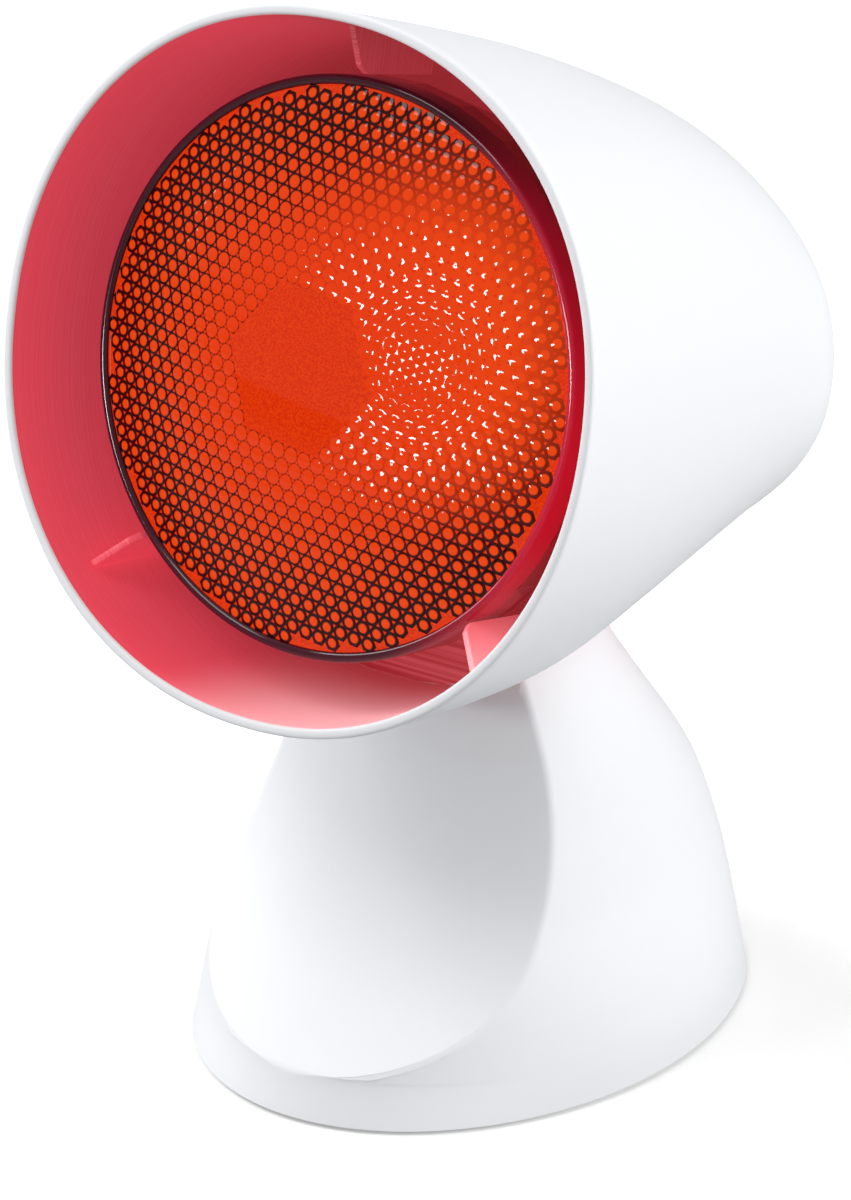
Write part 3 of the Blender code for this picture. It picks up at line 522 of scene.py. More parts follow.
@dataclass
class ShadeMoulding:
    """The white shade with its inner wall in the bulb's painted red light, neck slot, rear vents and centring
    fins.
    """

    place: Place
    rim_radius: float = 0.075
    depth: float = 0.175
    wall: float = 0.0022
    drop: float = 0.0050
    power: float = 2.106
    rounding: float = 0.0007
    rim_turns: tuple[float, ...] = (0, 30, 60, 90)
    top: tuple[float, ...] = (1.0, 0.967, 0.928, 0.872, 0.802, 0.709, 0.582, 0.446, 0.250, 0.0)
    bottom: tuple[float, ...] = (1.0, 0.990, 0.947, 0.822, 0.687, 0.568, 0.468, 0.327, 0.156, 0.0)
    side: tuple[float, ...] = (1.0, 0.914, 0.829, 0.752, 0.683, 0.623, 0.573, 0.441, 0.242, 0.0)
    rings: int = 64
    segments: int = 176
    slot_outline: tuple[Span, ...] = ((-0.0320, -0.040), (-0.0320, 0.0005), (0.0070, 0.0110),
                                      (0.0550, 0.0110), (0.0550, -0.040))
    slot_half_width: float = 0.0355
    slot_corner: float = 0.006
    vents: int = 6
    vent_size: Triple = (0.036, 0.175, 0.0030)
    vent_front: float = 0.135
    vent_lowest: float = -0.0060
    vent_pitch: float = 0.0072
    vent_corner: float = 0.00149
    bulb_radius: float = 0.0612
    fin_gap: float = 0.0006
    fin_outline: tuple[Span, ...] = ((0.0080, 0.0102), (0.0125, 0.0015), (0.0150, 0.0), (0.0380, 0.0),
                                     (0.0380, 0.0062))
    fin_turns: tuple[float, ...] = (0.0, 136.0, -136.0)
    fin_half_width: float = 0.0008
    fin_edge: float = 0.0003

    def ring(self, place: float, inset: float, push: float = 0.0) -> RingShape:
        """Give one ring of the shade.

        Args:
            place: from the rim, 0, to the rear, 1.
            inset: distance inside the outer skin.
            push: extra distance backwards.

        Returns:
            The ring's shape.
        """
        scale = self.rim_radius - inset
        depth = (self.depth - inset) * math.sin(place * math.pi / 2) + push
        drop = self.drop * math.sin(place * math.pi / 2) ** 2
        top, bottom, side = (0.0 if place >= 1 else spread_share(table, place) * scale
                             for table in (self.top, self.bottom, self.side))

        def shape(share: float) -> Vector:
            """Give the ring's point at a share of the way round."""
            c, s = math.cos(FULL_TURN * share), math.sin(FULL_TURN * share)
            height = top if s >= 0 else bottom
            return Vector((math.copysign(abs(c) ** (2 / self.power), c) * side, depth,
                           math.copysign(abs(s) ** (2 / self.power), s) * height - drop))
        return shape

    def rim_ring(self, degrees: float, inside: bool) -> RingShape:
        """Give one ring of the rim's rounded edge.

        Args:
            degrees: turn round the edge, up to 90 at its front.
            inside: whether the ring lies on the inner side.

        Returns:
            The ring's shape.
        """
        angle = math.radians(degrees)
        inset = self.rounding * (1 - math.cos(angle))
        return self.ring(0.0, self.wall - inset if inside else inset, self.rounding * (1 - math.sin(angle)))
    def build(self) -> bpy.types.Object:
        """Build the shade.

        Returns:
            The finished piece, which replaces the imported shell.
        """
        places = [step / self.rings for step in range(1, self.rings + 1)]
        inner = [self.ring(place, self.wall) for place in reversed(places)]
        rim = [self.rim_ring(turn, inside=True) for turn in self.rim_turns]
        rim += [self.rim_ring(turn, inside=False) for turn in reversed(self.rim_turns)]
        outer = [self.ring(place, 0.0) for place in places]
        bm, bands = swept_rings(self.segments, inner + rim + outer)
        # The inner wall takes the bulb's painted red light.
        for band in bands[:len(inner)]:
            for face in band:
                face.material_index = 1
        close_up(bm)
        bmesh.ops.transform(bm, matrix=self.place.shade_matrix, verts=bm.verts)
        white = FINISHES[Slot.WHITE].material()
        piece = make_piece("shade_moulding", bm, [white, PaintedLitWall(self.place).material()])
        carve(piece, [self.slot_tool()] + self.vent_tools())
        return piece

    def slot_tool(self) -> bmesh.types.BMesh:
        """Make the tool for the slot that the neck stands in.

        Returns:
            The tool's mesh.
        """
        bm = bmesh.new()
        add_prism(bm, self.slot_outline, self.slot_half_width)
        close_up(bm)
        upright = [edge for edge in bm.edges
                   if (edge.verts[0].co - edge.verts[1].co).xy.length < SAME_PLACE]
        bmesh.ops.bevel(bm, geom=upright, offset=self.slot_corner, segments=6, profile=0.5, affect='EDGES',
                        material=-1)
        bmesh.ops.translate(bm, vec=self.place.hinge, verts=bm.verts)
        return bm

    def vent_tools(self) -> list[bmesh.types.BMesh]:
        """Make the tools for the row of rear vents.

        Returns:
            One mesh for each vent.
        """
        tools = []
        reach = self.vent_size[1]
        for index in range(self.vents):
            centre = Vector((0.0, self.vent_front + reach / 2, self.vent_lowest + index * self.vent_pitch))
            bm = box_tool(self.vent_size, centre)
            ends = [edge for edge in bm.edges if abs(edge.verts[0].co.y - edge.verts[1].co.y) > reach / 2]
            bmesh.ops.bevel(bm, geom=ends, offset=self.vent_corner, segments=5, profile=0.5, affect='EDGES',
                            material=-1)
            bmesh.ops.transform(bm, matrix=self.place.shade_matrix, verts=bm.verts)
            tools.append(bm)
        return tools

    def build_fins(self) -> bpy.types.Object:
        """Build the three fins that centre the bulb, in the wall's painted red light.

        Returns:
            The fins as one piece.
        """
        bm = bmesh.new()
        inner_edge = self.bulb_radius + self.fin_gap
        outline = [(depth, inner_edge + height) for depth, height in self.fin_outline]
        for degrees in self.fin_turns:
            fin = add_prism(bm, outline, self.fin_half_width)
            bmesh.ops.transform(bm, matrix=Matrix.Rotation(math.radians(degrees), 4, 'Y'), verts=fin)
        close_up(bm)
        bmesh.ops.bevel(bm, geom=list(bm.edges), offset=self.fin_edge, segments=2, profile=0.5,
                        affect='EDGES', material=-1)
        bmesh.ops.transform(bm, matrix=self.place.shade_matrix, verts=bm.verts)
        return make_piece("centring_fins", bm, [PaintedLitWall(self.place).material()])


@dataclass(frozen=True)
class PaintedLitWall:
    """White inner wall, painted with the bulb's red light: crimson colour and glow, painted shade at the top right
    and towards the back, painted studio light low down, and painted reflection streaks.
    """

    place: Place
    # Painted glow: the white wall glows with painted light, though it is no lamp.
    glow: float = 0.58
    roughness: float = 0.42
    # Painted red light of the bulb on the white plastic.
    painted_red_light: Triple = (0.62, 0.045, 0.075)
    # Painted shade at the top right of the wall.
    painted_top_shade: Triple = (0.20, 0.022, 0.022)
    # Painted studio light on the lower wall.
    painted_low_light: Triple = (0.80, 0.40, 0.42)
    # Painted shade towards the back, away from the rim.
    painted_deep_shade: Triple = (0.30, 0.012, 0.018)
    # Painted reflections: faint lighter streaks in rings round the axis.
    painted_reflection_streak: Triple = (0.75, 0.16, 0.20)
    painted_top_shade_lean: float = 0.7
    painted_top_shade_span: Span = (0.045, 0.085)
    painted_low_light_lean: float = 0.45
    painted_low_light_span: Span = (-0.056, -0.080)
    painted_deep_shade_span: Span = (0.018, 0.060)
    painted_streak_scale: float = 700.0
    painted_streak_span: Span = (0.35, 0.65)
    painted_streak_share: float = 0.25

    def material(self) -> bpy.types.Material:
        """Build the wall's material, with the bulb's red light, shade, studio light and reflections all painted
        into its colour and glow.

        Returns:
            The material, made once.
        """
        name = "painted_lit_wall_finish"
        if name in bpy.data.materials:
            return bpy.data.materials[name]
        material, sheet, shader = start_material(name, {
            "Emission Strength": self.glow, "Roughness": self.roughness})
        across, depth, height = sheet.split(sheet.place(self.place.shade_matrix))
        # Painted studio light on the lower wall and painted shade at the top right, each along a slanted height.
        low = sheet.math('SUBTRACT', height, sheet.math('MULTIPLY', across, self.painted_low_light_lean))
        high = sheet.math('ADD', height, sheet.math('MULTIPLY', across, self.painted_top_shade_lean))
        color = sheet.blend(sheet.spread(high, self.painted_top_shade_span), self.painted_red_light, self.painted_top_shade)
        color = sheet.blend(sheet.spread(low, self.painted_low_light_span), color, self.painted_low_light)
        # Painted shade, darker further back from the rim.
        color = sheet.blend(sheet.spread(depth, self.painted_deep_shade_span), color, self.painted_deep_shade)
        # Painted reflections: faint rings of a lighter red along the depth.
        rings = sheet.add("ShaderNodeTexNoise", noise_dimensions='1D')
        sheet.join(sheet.math('MULTIPLY', depth, self.painted_streak_scale), rings.inputs["W"])
        mask = sheet.spread(rings.outputs["Fac"], self.painted_streak_span, (0.0, self.painted_streak_share))
        color = sheet.blend(mask, color, self.painted_reflection_streak)
        # The painted colour goes to both the base colour and the glow.
        sheet.join(color, shader.inputs["Base Color"])
        sheet.join(color, shader.inputs["Emission Color"])
        return material


@dataclass
class StandMoulding:
    """The white stand: ovals behind, one concave face in front, and a crease where they meet."""

    place: Place
    width: float = 0.1154
    depth: float = 0.1488
    offset: float = 0.0020
    foot: float = 0.0010
    height: float = 0.0970
    wall: float = 0.0023
    levels: tuple[float, ...] = (0.0, 0.10, 0.21, 0.31, 0.41, 0.52, 0.62, 0.72, 0.82, 0.93, 0.975, 1.0)
    sides: tuple[float, ...] = (1.0, 0.991, 0.952, 0.896, 0.832, 0.775,
                                0.726, 0.677, 0.620, 0.548, 0.522, 0.455)
    longs: tuple[float, ...] = (1.0, 0.946, 0.923, 0.913, 0.888, 0.824,
                                0.727, 0.614, 0.516, 0.452, 0.431, 0.385)
    shifts: tuple[float, ...] = (1.0, 1.1, 1.15, 1.15, 1.2, 1.3, 1.3, 1.1, 0.5, -0.8, -1.1, -1.1)
    scoop_foot: float = 0.0797
    scoop_top: float = 0.0225
    scoop_height: float = 0.0920
    crown_width: float = 0.0840
    crown: float = 0.0099
    crease_least: float = 0.0020
    crease_steps: int = 40
    crease_angle: float = math.radians(7.0)
    crease_span: Span = (0.010, 0.0965)
    crease_reach: Span = (0.0003, 0.0006)
    crease_bevel: float = 0.0009
    rings: int = 110
    ring_power: float = 1.15
    inner_step: int = 4
    segments: int = 192
    rear_share: float = 0.68
    opening: Triple = (0.049, 0.015, 0.0092)
    switch_lean: float = math.radians(6.4)
    switch_inset: float = 0.0020
    land: Triple = (0.0156, 0.0028, 0.0216)
    land_cut: float = 0.0009
    switch_hole: Triple = (0.0132, 0.030, 0.0192)

    def oval(self, level: float, inset: float) -> tuple[float, float, float]:
        """Give the stand's oval at a height.

        Args:
            level: the height.
            inset: distance inside the outer skin.

        Returns:
            Its half width, its half length and the place of its middle.
        """
        share = min(max(level / self.height, 0.0), 1.0)
        index = 0
        while index < len(self.levels) - 2 and share > self.levels[index + 1]:
            index += 1
        low, high = self.levels[index], self.levels[index + 1]
        place = (index + (share - low) / (high - low)) / (len(self.levels) - 1)
        return (spread_share(self.sides, place) * self.width / 2 - inset,
                spread_share(self.longs, place) * self.depth / 2 - inset,
                spread_share(self.shifts, place) * self.offset)

    def scoop(self, x: float, z: float, inset: float) -> float:
        """Give the concave face's place in depth.

        Args:
            x: place across.
            z: height.
            inset: distance inside the outer skin.

        Returns:
            The face's distance from the stand's middle, less than 0 in front.
        """
        share = min(max(z / self.scoop_height, 0.0), 1.0)
        crown = self.crown * (x / (self.crown_width / 2)) ** 2
        return -self.scoop_top - (self.scoop_foot - self.scoop_top) * (1 - share) ** 2 + crown + inset

    def crease(self, level: float, inset: float) -> float:
        """Find where the concave face meets the oval.

        Args:
            level: the height.
            inset: distance inside the outer skin.

        Returns:
            The half width between the creases.
        """
        side, long, shift = self.oval(level, inset)
        low, high = 0.0, side
        for _ in range(self.crease_steps):
            middle = (low + high) / 2
            front = shift - long * math.sqrt(max(1 - (middle / side) ** 2, 0.0))
            if self.scoop(middle, level, inset) > front:
                low = middle
            else:
                high = middle
        return max(low, self.crease_least)

    def ring(self, level: float, inset: float, height: float | None = None) -> RingShape:
        """Give one ring of the stand.

        Args:
            level: height at which the form is read.
            inset: distance inside the outer skin.
            height: height at which the ring lies, where it isn't the level.

        Returns:
            The ring's shape.
        """
        side, long, shift = self.oval(level, inset)
        edge = self.crease(level, inset)
        lead = math.acos(min(edge / side, 1.0))
        z = level if height is None else height
        middle = self.place.stand_middle.y

        def shape(share: float) -> Vector:
            """Give the ring's point at a share of the way round."""
            if share <= self.rear_share:
                turn = (math.pi + 2 * lead) * share / self.rear_share - lead
                return Vector((side * math.cos(turn), middle + shift + long * math.sin(turn), z))
            across = (share - self.rear_share) / (1 - self.rear_share)
            x = edge * (2 * across - 1)
            oval_y = shift - long * math.sqrt(max(1 - (x / side) ** 2, 0.0))
            return Vector((x, middle + max(self.scoop(x, level, inset), oval_y), z))
        return shape

    def build(self) -> bpy.types.Object:
        """Build the stand.

        Returns:
            The finished piece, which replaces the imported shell.
        """
        levels = [self.foot + (self.height - self.foot) * (step / self.rings) ** self.ring_power
                  for step in range(self.rings + 1)]
        outer = [self.ring(level, 0.0) for level in levels]
        ceiling = self.height - self.wall
        inner_levels = [level * ceiling / self.height for level in levels[::self.inner_step]] + [ceiling]
        inner = [self.ring(level, self.wall) for level in inner_levels]
        foot = self.ring(levels[0], self.wall)
        bm, _ = swept_rings(self.segments, list(reversed(inner)) + [foot] + outer)
        bmesh.ops.remove_doubles(bm, verts=bm.verts, dist=MERGE_DISTANCE)
        bmesh.ops.holes_fill(bm, edges=[edge for edge in bm.edges if edge.is_boundary], sides=0)
        bmesh.ops.recalc_face_normals(bm, faces=bm.faces)
        creases = [edge for edge in bm.edges if len(edge.link_faces) == 2
                   and edge.calc_face_angle() > self.crease_angle and self.on_crease(edge)]
        bmesh.ops.bevel(bm, geom=creases, offset=self.crease_bevel, segments=3, profile=0.5, affect='EDGES',
                        material=-1)
        piece = make_piece("stand_moulding", bm, [FINISHES[Slot.WHITE].material()])
        carve(piece, self.tools())
        return piece

    def on_crease(self, edge: bmesh.types.BMEdge) -> bool:
        """Tell whether an edge runs along the outer crease.

        Args:
            edge: the edge.

        Returns:
            Whether both its ends lie on the crease.
        """
        lowest, highest = self.crease_span
        reach_across, reach_deep = self.crease_reach
        for vertex in edge.verts:
            x, y, z = vertex.co
            ahead = y - self.place.stand_middle.y
            if z < lowest or z > highest or abs(abs(x) - self.crease(z, 0.0)) > reach_across:
                return False
            if ahead > 0 or abs(ahead - self.scoop(x, z, 0.0)) > reach_deep:
                return False
        return True

    def tools(self) -> list[bmesh.types.BMesh]:
        """Make the tools for the neck's opening and the switch.

        Returns:
            The tools' meshes.
        """
        opening = box_tool(self.opening, Vector((0.0, self.place.hinge.y, self.height)))
        low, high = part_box("switch_housing")
        middle = (low + high) / 2
        lean = Matrix.Translation((0.0, high.y - self.switch_inset, middle.z))
        lean = lean @ Matrix.Rotation(self.switch_lean, 4, 'X')
        land = box_tool(self.land, Vector((0.0, self.land[1] / 2 - self.land_cut, 0.0)), lean)
        return [opening, land, box_tool(self.switch_hole, Vector(), lean)]


@dataclass(frozen=True)
class SoftLight:
    """Rectangular light at a spot, pointed at its aim, with its power in watts."""

    name: str
    spot: Triple
    aim: Triple
    size: Span
    power: float

    def build(self) -> None:
        """Add the light to the scene."""
        data = bpy.data.lights.new(self.name, 'AREA')
        data.shape = 'RECTANGLE'
        data.size, data.size_y = self.size
        data.energy = self.power
        light = bpy.data.objects.new(self.name, data)
        bpy.context.scene.collection.objects.link(light)
        light.location = self.spot
        light.rotation_euler = (Vector(self.aim) - Vector(self.spot)).to_track_quat('-Z', 'Y').to_euler()


@dataclass
class LampStudio:
    """Pale floor, white surroundings, soft lights and the camera."""

    place: Place
    lens: float = 135.29
    sensor_width: float = 36.0
    clip_start: float = 0.01
    distance: float = 1.0
    elevation: float = math.radians(22.09)
    azimuth: float = math.radians(35.90)
    across: float = -0.0098
    up: float = 0.0977
    floor_reach: float = 4.0
    floor_roughness: float = 0.9
    floor_hidden: Triple = (0.32, 0.32, 0.32)
    floor_seen: Triple = (0.80, 0.80, 0.80)
    floor_span: Span = (0.22, 0.80)
    floor_glow: Span = (0.28, 1.0)
    fill: float = 0.33
    lights: tuple[SoftLight, ...] = (
        SoftLight("top_light", (-0.10, 0.05, 1.4), (0.0, 0.0, 0.1), (1.2, 1.2), 2.0),
        SoftLight("high_light", (-0.30, -0.80, 1.15), (0.0, 0.0, 0.1), (0.6, 0.6), 5.0),
        SoftLight("left_light", (-1.15, -0.10, 0.75), (0.0, 0.0, 0.12), (0.9, 0.9), 13.0),
        SoftLight("right_light", (1.20, 0.35, 0.55), (0.0, 0.0, 0.12), (0.9, 0.6), 14.5),
        SoftLight("strip_light", (-0.344, -1.01, 0.28), (0.0, -0.07, 0.165), (0.17, 0.085), 1.9),
    )

    def build(self) -> None:
        """Set the camera, the floor, the world and the lights."""
        self.camera()
        self.floor()
        self.world()
        for light in self.lights:
            light.build()
        bpy.context.scene.view_settings.view_transform = 'Standard'

    def camera(self) -> None:
        """Set the camera at the photograph's angle."""
        right = Vector((math.cos(self.azimuth), math.sin(self.azimuth), 0.0))
        target = right * self.across + Vector((0.0, self.place.stand_middle.y, self.up))
        away = Vector((math.sin(self.azimuth) * math.cos(self.elevation),
                       -math.cos(self.azimuth) * math.cos(self.elevation), math.sin(self.elevation)))
        data = bpy.data.cameras.new("camera")
        data.lens = self.lens
        data.sensor_width = self.sensor_width
        data.clip_start = self.clip_start
        camera = bpy.data.objects.new("camera", data)
        bpy.context.scene.collection.objects.link(camera)
        camera.location = target + away * self.distance
        camera.rotation_euler = (-away).to_track_quat('-Z', 'Y').to_euler()
        bpy.context.scene.camera = camera

    def floor(self) -> None:
        """Add the pale floor, which looks white and keeps the lamp's shadow."""
        bm = bmesh.new()
        bmesh.ops.create_grid(bm, x_segments=1, y_segments=1, size=self.floor_reach)
        material, sheet, shader = start_material("floor_finish", {
            "Roughness": self.floor_roughness, "Specular IOR Level": 0.0})
        shader.inputs["Emission Color"].default_value = (1.0, 1.0, 1.0, 1.0)
        seen = self.seen_rays(sheet)
        color = sheet.blend(seen, self.floor_hidden, self.floor_seen)
        sheet.join(color, shader.inputs["Base Color"])
        length = sheet.add("ShaderNodeVectorMath", operation='LENGTH')
        sheet.join(sheet.add("ShaderNodeTexCoord").outputs["Object"], length.inputs[0])
        glow = sheet.spread(length.outputs["Value"], self.floor_span, self.floor_glow)
        sheet.join(sheet.math('MULTIPLY', seen, glow), shader.inputs["Emission Strength"])
        make_piece("floor", bm, [material])

    def world(self) -> None:
        """Light the lamp evenly from all round, with a white background."""
        world = bpy.data.worlds.new("studio")
        bpy.context.scene.world = world
        world.use_nodes = True
        sheet = NodeSheet(world.node_tree)
        background = world.node_tree.nodes["Background"]
        background.inputs["Color"].default_value = (1.0, 1.0, 1.0, 1.0)
        strength = sheet.spread(self.seen_rays(sheet), (0.0, 1.0), (self.fill, 1.0), smooth=False)
        sheet.join(strength, background.inputs["Strength"])

    @staticmethod
    def seen_rays(sheet: NodeSheet) -> Socket:
        """Give 1 for rays from the camera and through glass, and 0 for the rest."""
        path = sheet.add("ShaderNodeLightPath")
        return sheet.math('MAXIMUM', path.outputs["Is Camera Ray"], path.outputs["Is Transmission Ray"])


@dataclass
class LitLens:
    """The bulb's pressed front: a field of round dimples round a plain hexagon, in a dark glass ring."""

    place: Place
    face_depth: float = 0.0160
    radius: float = 0.0612
    crown: float = 0.0075
    flat_radius: float = 0.0590
    face_rings: int = 12
    pitch: float = 0.00346
    turn: float = math.radians(-8.0)
    centre: Span = (-0.0033, 0.0001)
    plain_rings: int = 5
    spare_rows: int = 4
    edge_margin: float = 0.3
    dimple_height: float = 0.00019
    dimple_lift: float = 0.00003
    dimple_rings: int = 5
    dimple_segments: int = 12
    plain_mark: float = 2.0
    bead: float = 0.0011
    bead_rise: float = 0.0002
    bead_steps: int = 8
    skirt_wall: float = 0.0028
    skirt: float = 0.0060
    back_edge: Span = (0.050, 0.0022)
    back_middle: Span = (0.0, -0.0040)
    segments: int = 128
    sharp_degrees: float = 60.0

    def depth_at(self, x: float, z: float) -> float:
        """Give how far the lens's smooth front lies behind the rim, at a place across and up."""
        return self.face_depth - self.crown * (1 - (x * x + z * z) / self.flat_radius ** 2)

    def build(self) -> bpy.types.Object:
        """Build the lens.

        Returns:
            The finished piece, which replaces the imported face.
        """
        bm = bmesh.new()
        dimple = self.dimple_mesh()
        for x, z in self.spots():
            first = len(bm.verts)
            bm.from_mesh(dimple)
            bm.verts.ensure_lookup_table()
            for vertex in bm.verts[first:]:
                vertex.co.x += x
                vertex.co.z += z
                vertex.co.y += self.depth_at(vertex.co.x, vertex.co.z) - self.dimple_lift
        reach = bm.verts.layers.float["dimple"]
        bm.from_mesh(self.disc_mesh())
        for vertex in bm.verts:
            if vertex[reach] == 0.0 and not self.is_dimple_middle(vertex):
                vertex[reach] = self.plain_mark
        bmesh.ops.transform(bm, matrix=self.place.shade_matrix, verts=bm.verts)
        materials = [LensGlass(self.place).material(), RingGlass(self.place).material()]
        return make_piece("lit_lens", bm, materials, self.sharp_degrees)

    def is_dimple_middle(self, vertex: bmesh.types.BMVert) -> bool:
        """Tell whether a vertex is the middle of a dimple, where all its segments meet."""
        edges = vertex.link_edges
        return len(edges) == self.dimple_segments and all(len(edge.link_faces) == 2 for edge in edges)

    def spots(self) -> list[Span]:
        """Find the places of the dimples.

        Returns:
            Their middles, across and up.
        """
        found = []
        reach = int(self.radius / self.pitch) + self.spare_rows
        c, s = math.cos(self.turn), math.sin(self.turn)
        for row in range(-reach, reach + 1):
            for column in range(-reach, reach + 1):
                if max(abs(row), abs(column), abs(row + column)) <= self.plain_rings:
                    continue
                x = self.pitch * (column + row / 2)
                z = self.pitch * row * math.sqrt(3) / 2
                x, z = x * c - z * s + self.centre[0], x * s + z * c + self.centre[1]
                if math.hypot(x, z) < self.flat_radius - self.pitch * self.edge_margin:
                    found.append((x, z))
        return found

    def dimple_mesh(self) -> bpy.types.Mesh:
        """Make one dimple: a low dome whose foot fills its hexagon.

        Returns:
            The dimple's mesh, with how far each vertex lies from its middle.
        """
        half = self.pitch / 2

        def ring(step: int) -> RingShape:
            """Give one ring of the dimple, from its middle, 0, to its hexagonal foot."""
            share = step / self.dimple_rings

            def shape(around: float) -> Vector:
                """Give the ring's point at a share of the way round."""
                turn = FULL_TURN * around
                distance = half / math.cos(turn % (math.pi / 3) - math.pi / 6) * share
                turn += self.turn
                return Vector((distance * math.cos(turn), -self.dimple_height * (1 - share * share) ** 2,
                               distance * math.sin(turn)))
            return shape
        bm, _ = swept_rings(self.dimple_segments, [ring(step) for step in range(self.dimple_rings + 1)])
        close_up(bm)
        if sum(face.normal.y for face in bm.faces) > 0:
            bmesh.ops.reverse_faces(bm, faces=bm.faces)
        reach = bm.verts.layers.float.new("dimple")
        for vertex in bm.verts:
            vertex[reach] = math.hypot(vertex.co.x, vertex.co.z) / half
        mesh = bpy.data.meshes.new("dimple")
        bm.to_mesh(mesh)
        bm.free()
        return mesh

    def disc_mesh(self) -> bpy.types.Mesh:
        """Spin the lens's smooth body with its raised ring.

        Returns:
            The body in the shade's axes.
        """
        profile: list[tuple[float, float, int]] = []
        for step in range(self.face_rings + 1):
            share = step / self.face_rings
            profile.append((self.flat_radius * share, self.face_depth - self.crown * (1 - share ** 2), 0))
        for step in range(self.bead_steps + 1):
            angle = math.radians(180 - step * 180 / self.bead_steps)
            profile.append((self.radius - self.bead + self.bead * math.cos(angle),
                            self.face_depth + self.bead_rise - self.bead * math.sin(angle), 1))
        back = ((self.radius, self.skirt), (self.radius - self.skirt_wall, self.skirt), self.back_edge,
                self.back_middle)
        profile += [(radius, self.face_depth + depth, 1) for radius, depth in back]

        def ring(radius: float, depth: float) -> RingShape:
            """Give a round ring."""
            return lambda share: Vector((radius * math.cos(FULL_TURN * share), depth,
                                         radius * math.sin(FULL_TURN * share)))
        bm, bands = swept_rings(self.segments, [ring(radius, depth) for radius, depth, _ in profile])
        for band, (_, _, index) in zip(bands, profile[1:]):
            for face in band:
                face.material_index = index
        close_up(bm)
        mesh = bpy.data.meshes.new("disc")
        bm.to_mesh(mesh)
        bm.free()
        return mesh


@dataclass(frozen=True)
class LensGlass:
    """Lit glass of the lens: bright dimples over darker gaps, with a frosted plain hexagon, and painted glare:
    round one spot right of the middle the gaps are painted lit red, and further out they are painted dark.
    """

    place: Place
    plain_values: tuple[tuple[str, float], ...] = (
        ("Emission Strength", 0.92), ("Roughness", 0.30), ("Specular IOR Level", 0.0), ("Coat Weight", 0.65),
        ("Coat Roughness", 0.035))
    bright_middle: Triple = (0.80, 0.042, 0.0)
    bright_edge: Triple = (0.84, 0.058, 0.0)
    bright_span: Span = (0.020, 0.058)
    # Gap colours: painted lit red near the glare spot, dark far from it.
    gap_in_painted_glare: Triple = (0.22, 0.008, 0.0)
    gap_far: Triple = (0.022, 0.0, 0.0)
    gap_color_span: Span = (0.020, 0.050)
    gap_span: Span = (0.016, 0.042)
    gap_growth: float = 0.40
    gap_edge: Span = (-0.13, 0.10)
    # Middle of the painted glare, across and up.
    painted_glare_spot: Span = (0.026, 0.012)
    frost_low: Triple = (0.66, 0.022, 0.0)
    frost_high: Triple = (0.80, 0.045, 0.0)
    frost_span: Span = (0.35, 0.65)
    frost_scale: float = 2200.0
    frost_detail: float = 4.0
    frost_depth: float = 0.00004
    plain_span: Span = (1.2, 1.8)
    unlit: float = 0.90

    def material(self) -> bpy.types.Material:
        """Build the lit glass.

        Returns:
            The material.
        """
        material, sheet, shader = start_material("lit_lens_finish", dict(self.plain_values))
        spot = sheet.place(self.place.shade_matrix)
        across, _, height = sheet.split(spot)
        reach = sheet.add("ShaderNodeAttribute", attribute_name="dimple").outputs["Fac"]
        outwards = sheet.spread(self.distance(sheet, across, height, (0.0, 0.0)), self.bright_span)
        # Painted glare: gaps are lit near this spot and darkened further out.
        painted_glare = self.distance(sheet, across, height, self.painted_glare_spot)
        edge = sheet.math('SUBTRACT', 1.0, sheet.math('MULTIPLY', outwards, self.gap_growth))
        gap = sheet.spread(sheet.math('SUBTRACT', reach, edge), self.gap_edge)
        plain = sheet.spread(reach, self.plain_span)
        gap = sheet.math('MULTIPLY', gap, sheet.math('SUBTRACT', 1.0, plain))
        gap = sheet.math('MULTIPLY', gap, sheet.spread(painted_glare, self.gap_span))
        bright = sheet.blend(outwards, self.bright_middle, self.bright_edge)
        gap_color = sheet.blend(sheet.spread(painted_glare, self.gap_color_span), self.gap_in_painted_glare, self.gap_far)
        color = sheet.blend(gap, bright, gap_color)
        grain = sheet.add("ShaderNodeTexNoise")
        grain.inputs["Scale"].default_value = self.frost_scale
        grain.inputs["Detail"].default_value = self.frost_detail
        sheet.join(spot, grain.inputs["Vector"])
        speckle = sheet.spread(grain.outputs["Fac"], self.frost_span)
        frost = sheet.blend(speckle, self.frost_low, self.frost_high)
        color = sheet.blend(plain, color, frost)
        base = sheet.blend(sheet.level(self.unlit), color, (0.0, 0.0, 0.0))
        sheet.join(base, shader.inputs["Base Color"])
        sheet.join(color, shader.inputs["Emission Color"])
        bump = sheet.add("ShaderNodeBump")
        bump.inputs["Distance"].default_value = self.frost_depth
        sheet.join(sheet.math('MULTIPLY', grain.outputs["Fac"], plain), bump.inputs["Height"])
        sheet.join(bump.outputs["Normal"], shader.inputs["Normal"])
        return material

    @staticmethod
    def distance(sheet: NodeSheet, across: Socket, height: Socket, point: Span) -> Socket:
        """Measure the distance from a point of the lens.

        Args:
            sheet: node sheet that the nodes are added to.
            across: place across.
            height: place up.
            point: the point, across and up.

        Returns:
            The distance.
        """
        dx, dz = sheet.math('SUBTRACT', across, point[0]), sheet.math('SUBTRACT', height, point[1])
        squares = sheet.math('ADD', sheet.math('MULTIPLY', dx, dx), sheet.math('MULTIPLY', dz, dz))
        return sheet.math('SQRT', squares)


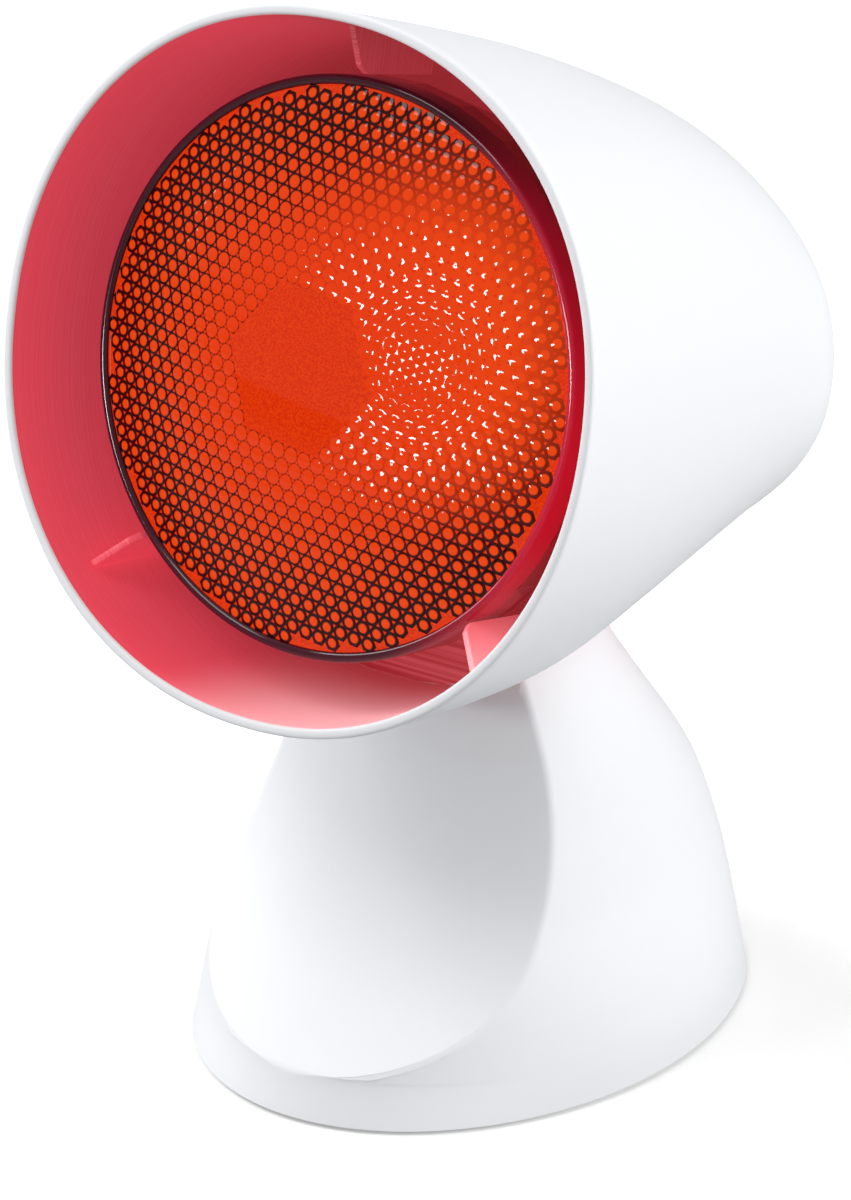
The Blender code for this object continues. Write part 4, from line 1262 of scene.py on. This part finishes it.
@dataclass(frozen=True)
class RingGlass:
    """Dark red glass of the lens's ring, with a painted highlight: lighter and glowing more towards its right."""

    place: Place
    plain_values: tuple[tuple[str, float], ...] = (
        ("Emission Strength", 0.15), ("Roughness", 0.12), ("Specular IOR Level", 0.3), ("Coat Weight", 0.4))
    # Own dark colour on the left; painted highlight towards the right.
    left: Triple = (0.045, 0.002, 0.010)
    right: Triple = (0.50, 0.010, 0.040)
    span: Span = (0.02, 0.06)

    def material(self) -> bpy.types.Material:
        """Build the ring's glass.

        Returns:
            The material.
        """
        material, sheet, shader = start_material("lens_ring_painted_highlight_finish", dict(self.plain_values))
        across, _, _ = sheet.split(sheet.place(self.place.shade_matrix))
        color = sheet.blend(sheet.spread(across, self.span), self.left, self.right)
        sheet.join(color, shader.inputs["Base Color"])
        sheet.join(color, shader.inputs["Emission Color"])
        return material


def dress_nodes(place: Place) -> None:
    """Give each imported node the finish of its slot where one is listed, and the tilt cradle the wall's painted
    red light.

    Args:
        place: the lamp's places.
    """
    slots = {entry["node"]: entry["material_slot"] for entry in frame["record"]["subparts"]}
    painted_wall = PaintedLitWall(place).material()
    for name, node in frame["nodes"].items():
        slot = Slot(slots[name])
        # The tilt cradle inside the shade takes the painted red light of the wall.
        if name == "tilt_cradle":
            for spot in node.material_slots:
                spot.material = painted_wall
        elif slot in FINISHES:
            for spot in node.material_slots:
                spot.material = FINISHES[slot].material()


def settle(piece: bpy.types.Object, body: Body, slot: Slot, *nodes: str) -> None:
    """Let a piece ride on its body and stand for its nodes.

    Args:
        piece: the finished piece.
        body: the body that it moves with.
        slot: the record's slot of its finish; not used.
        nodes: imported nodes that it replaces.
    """
    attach(piece, body.value)
    if nodes:
        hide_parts(*nodes)
    log.info("%s rides on %s with %d faces", piece.name, body.value, len(piece.data.polygons))


def main() -> None:
    """Dress the lamp, piece by piece."""
    logging.basicConfig(level=logging.INFO, format="%(message)s")
    place = read_place()
    dress_nodes(place)
    shade = ShadeMoulding(place)
    settle(shade.build(), Body.HEAD, Slot.WHITE, "shade_shell")
    settle(shade.build_fins(), Body.HEAD, Slot.WHITE)
    settle(StandMoulding(place).build(), Body.STAND, Slot.WHITE, "stand_shell")
    settle(LitLens(place).build(), Body.HEAD, Slot.RED_GLASS, "bulb_face")
    LampStudio(place).build()


if __name__ == "__main__":
    main()
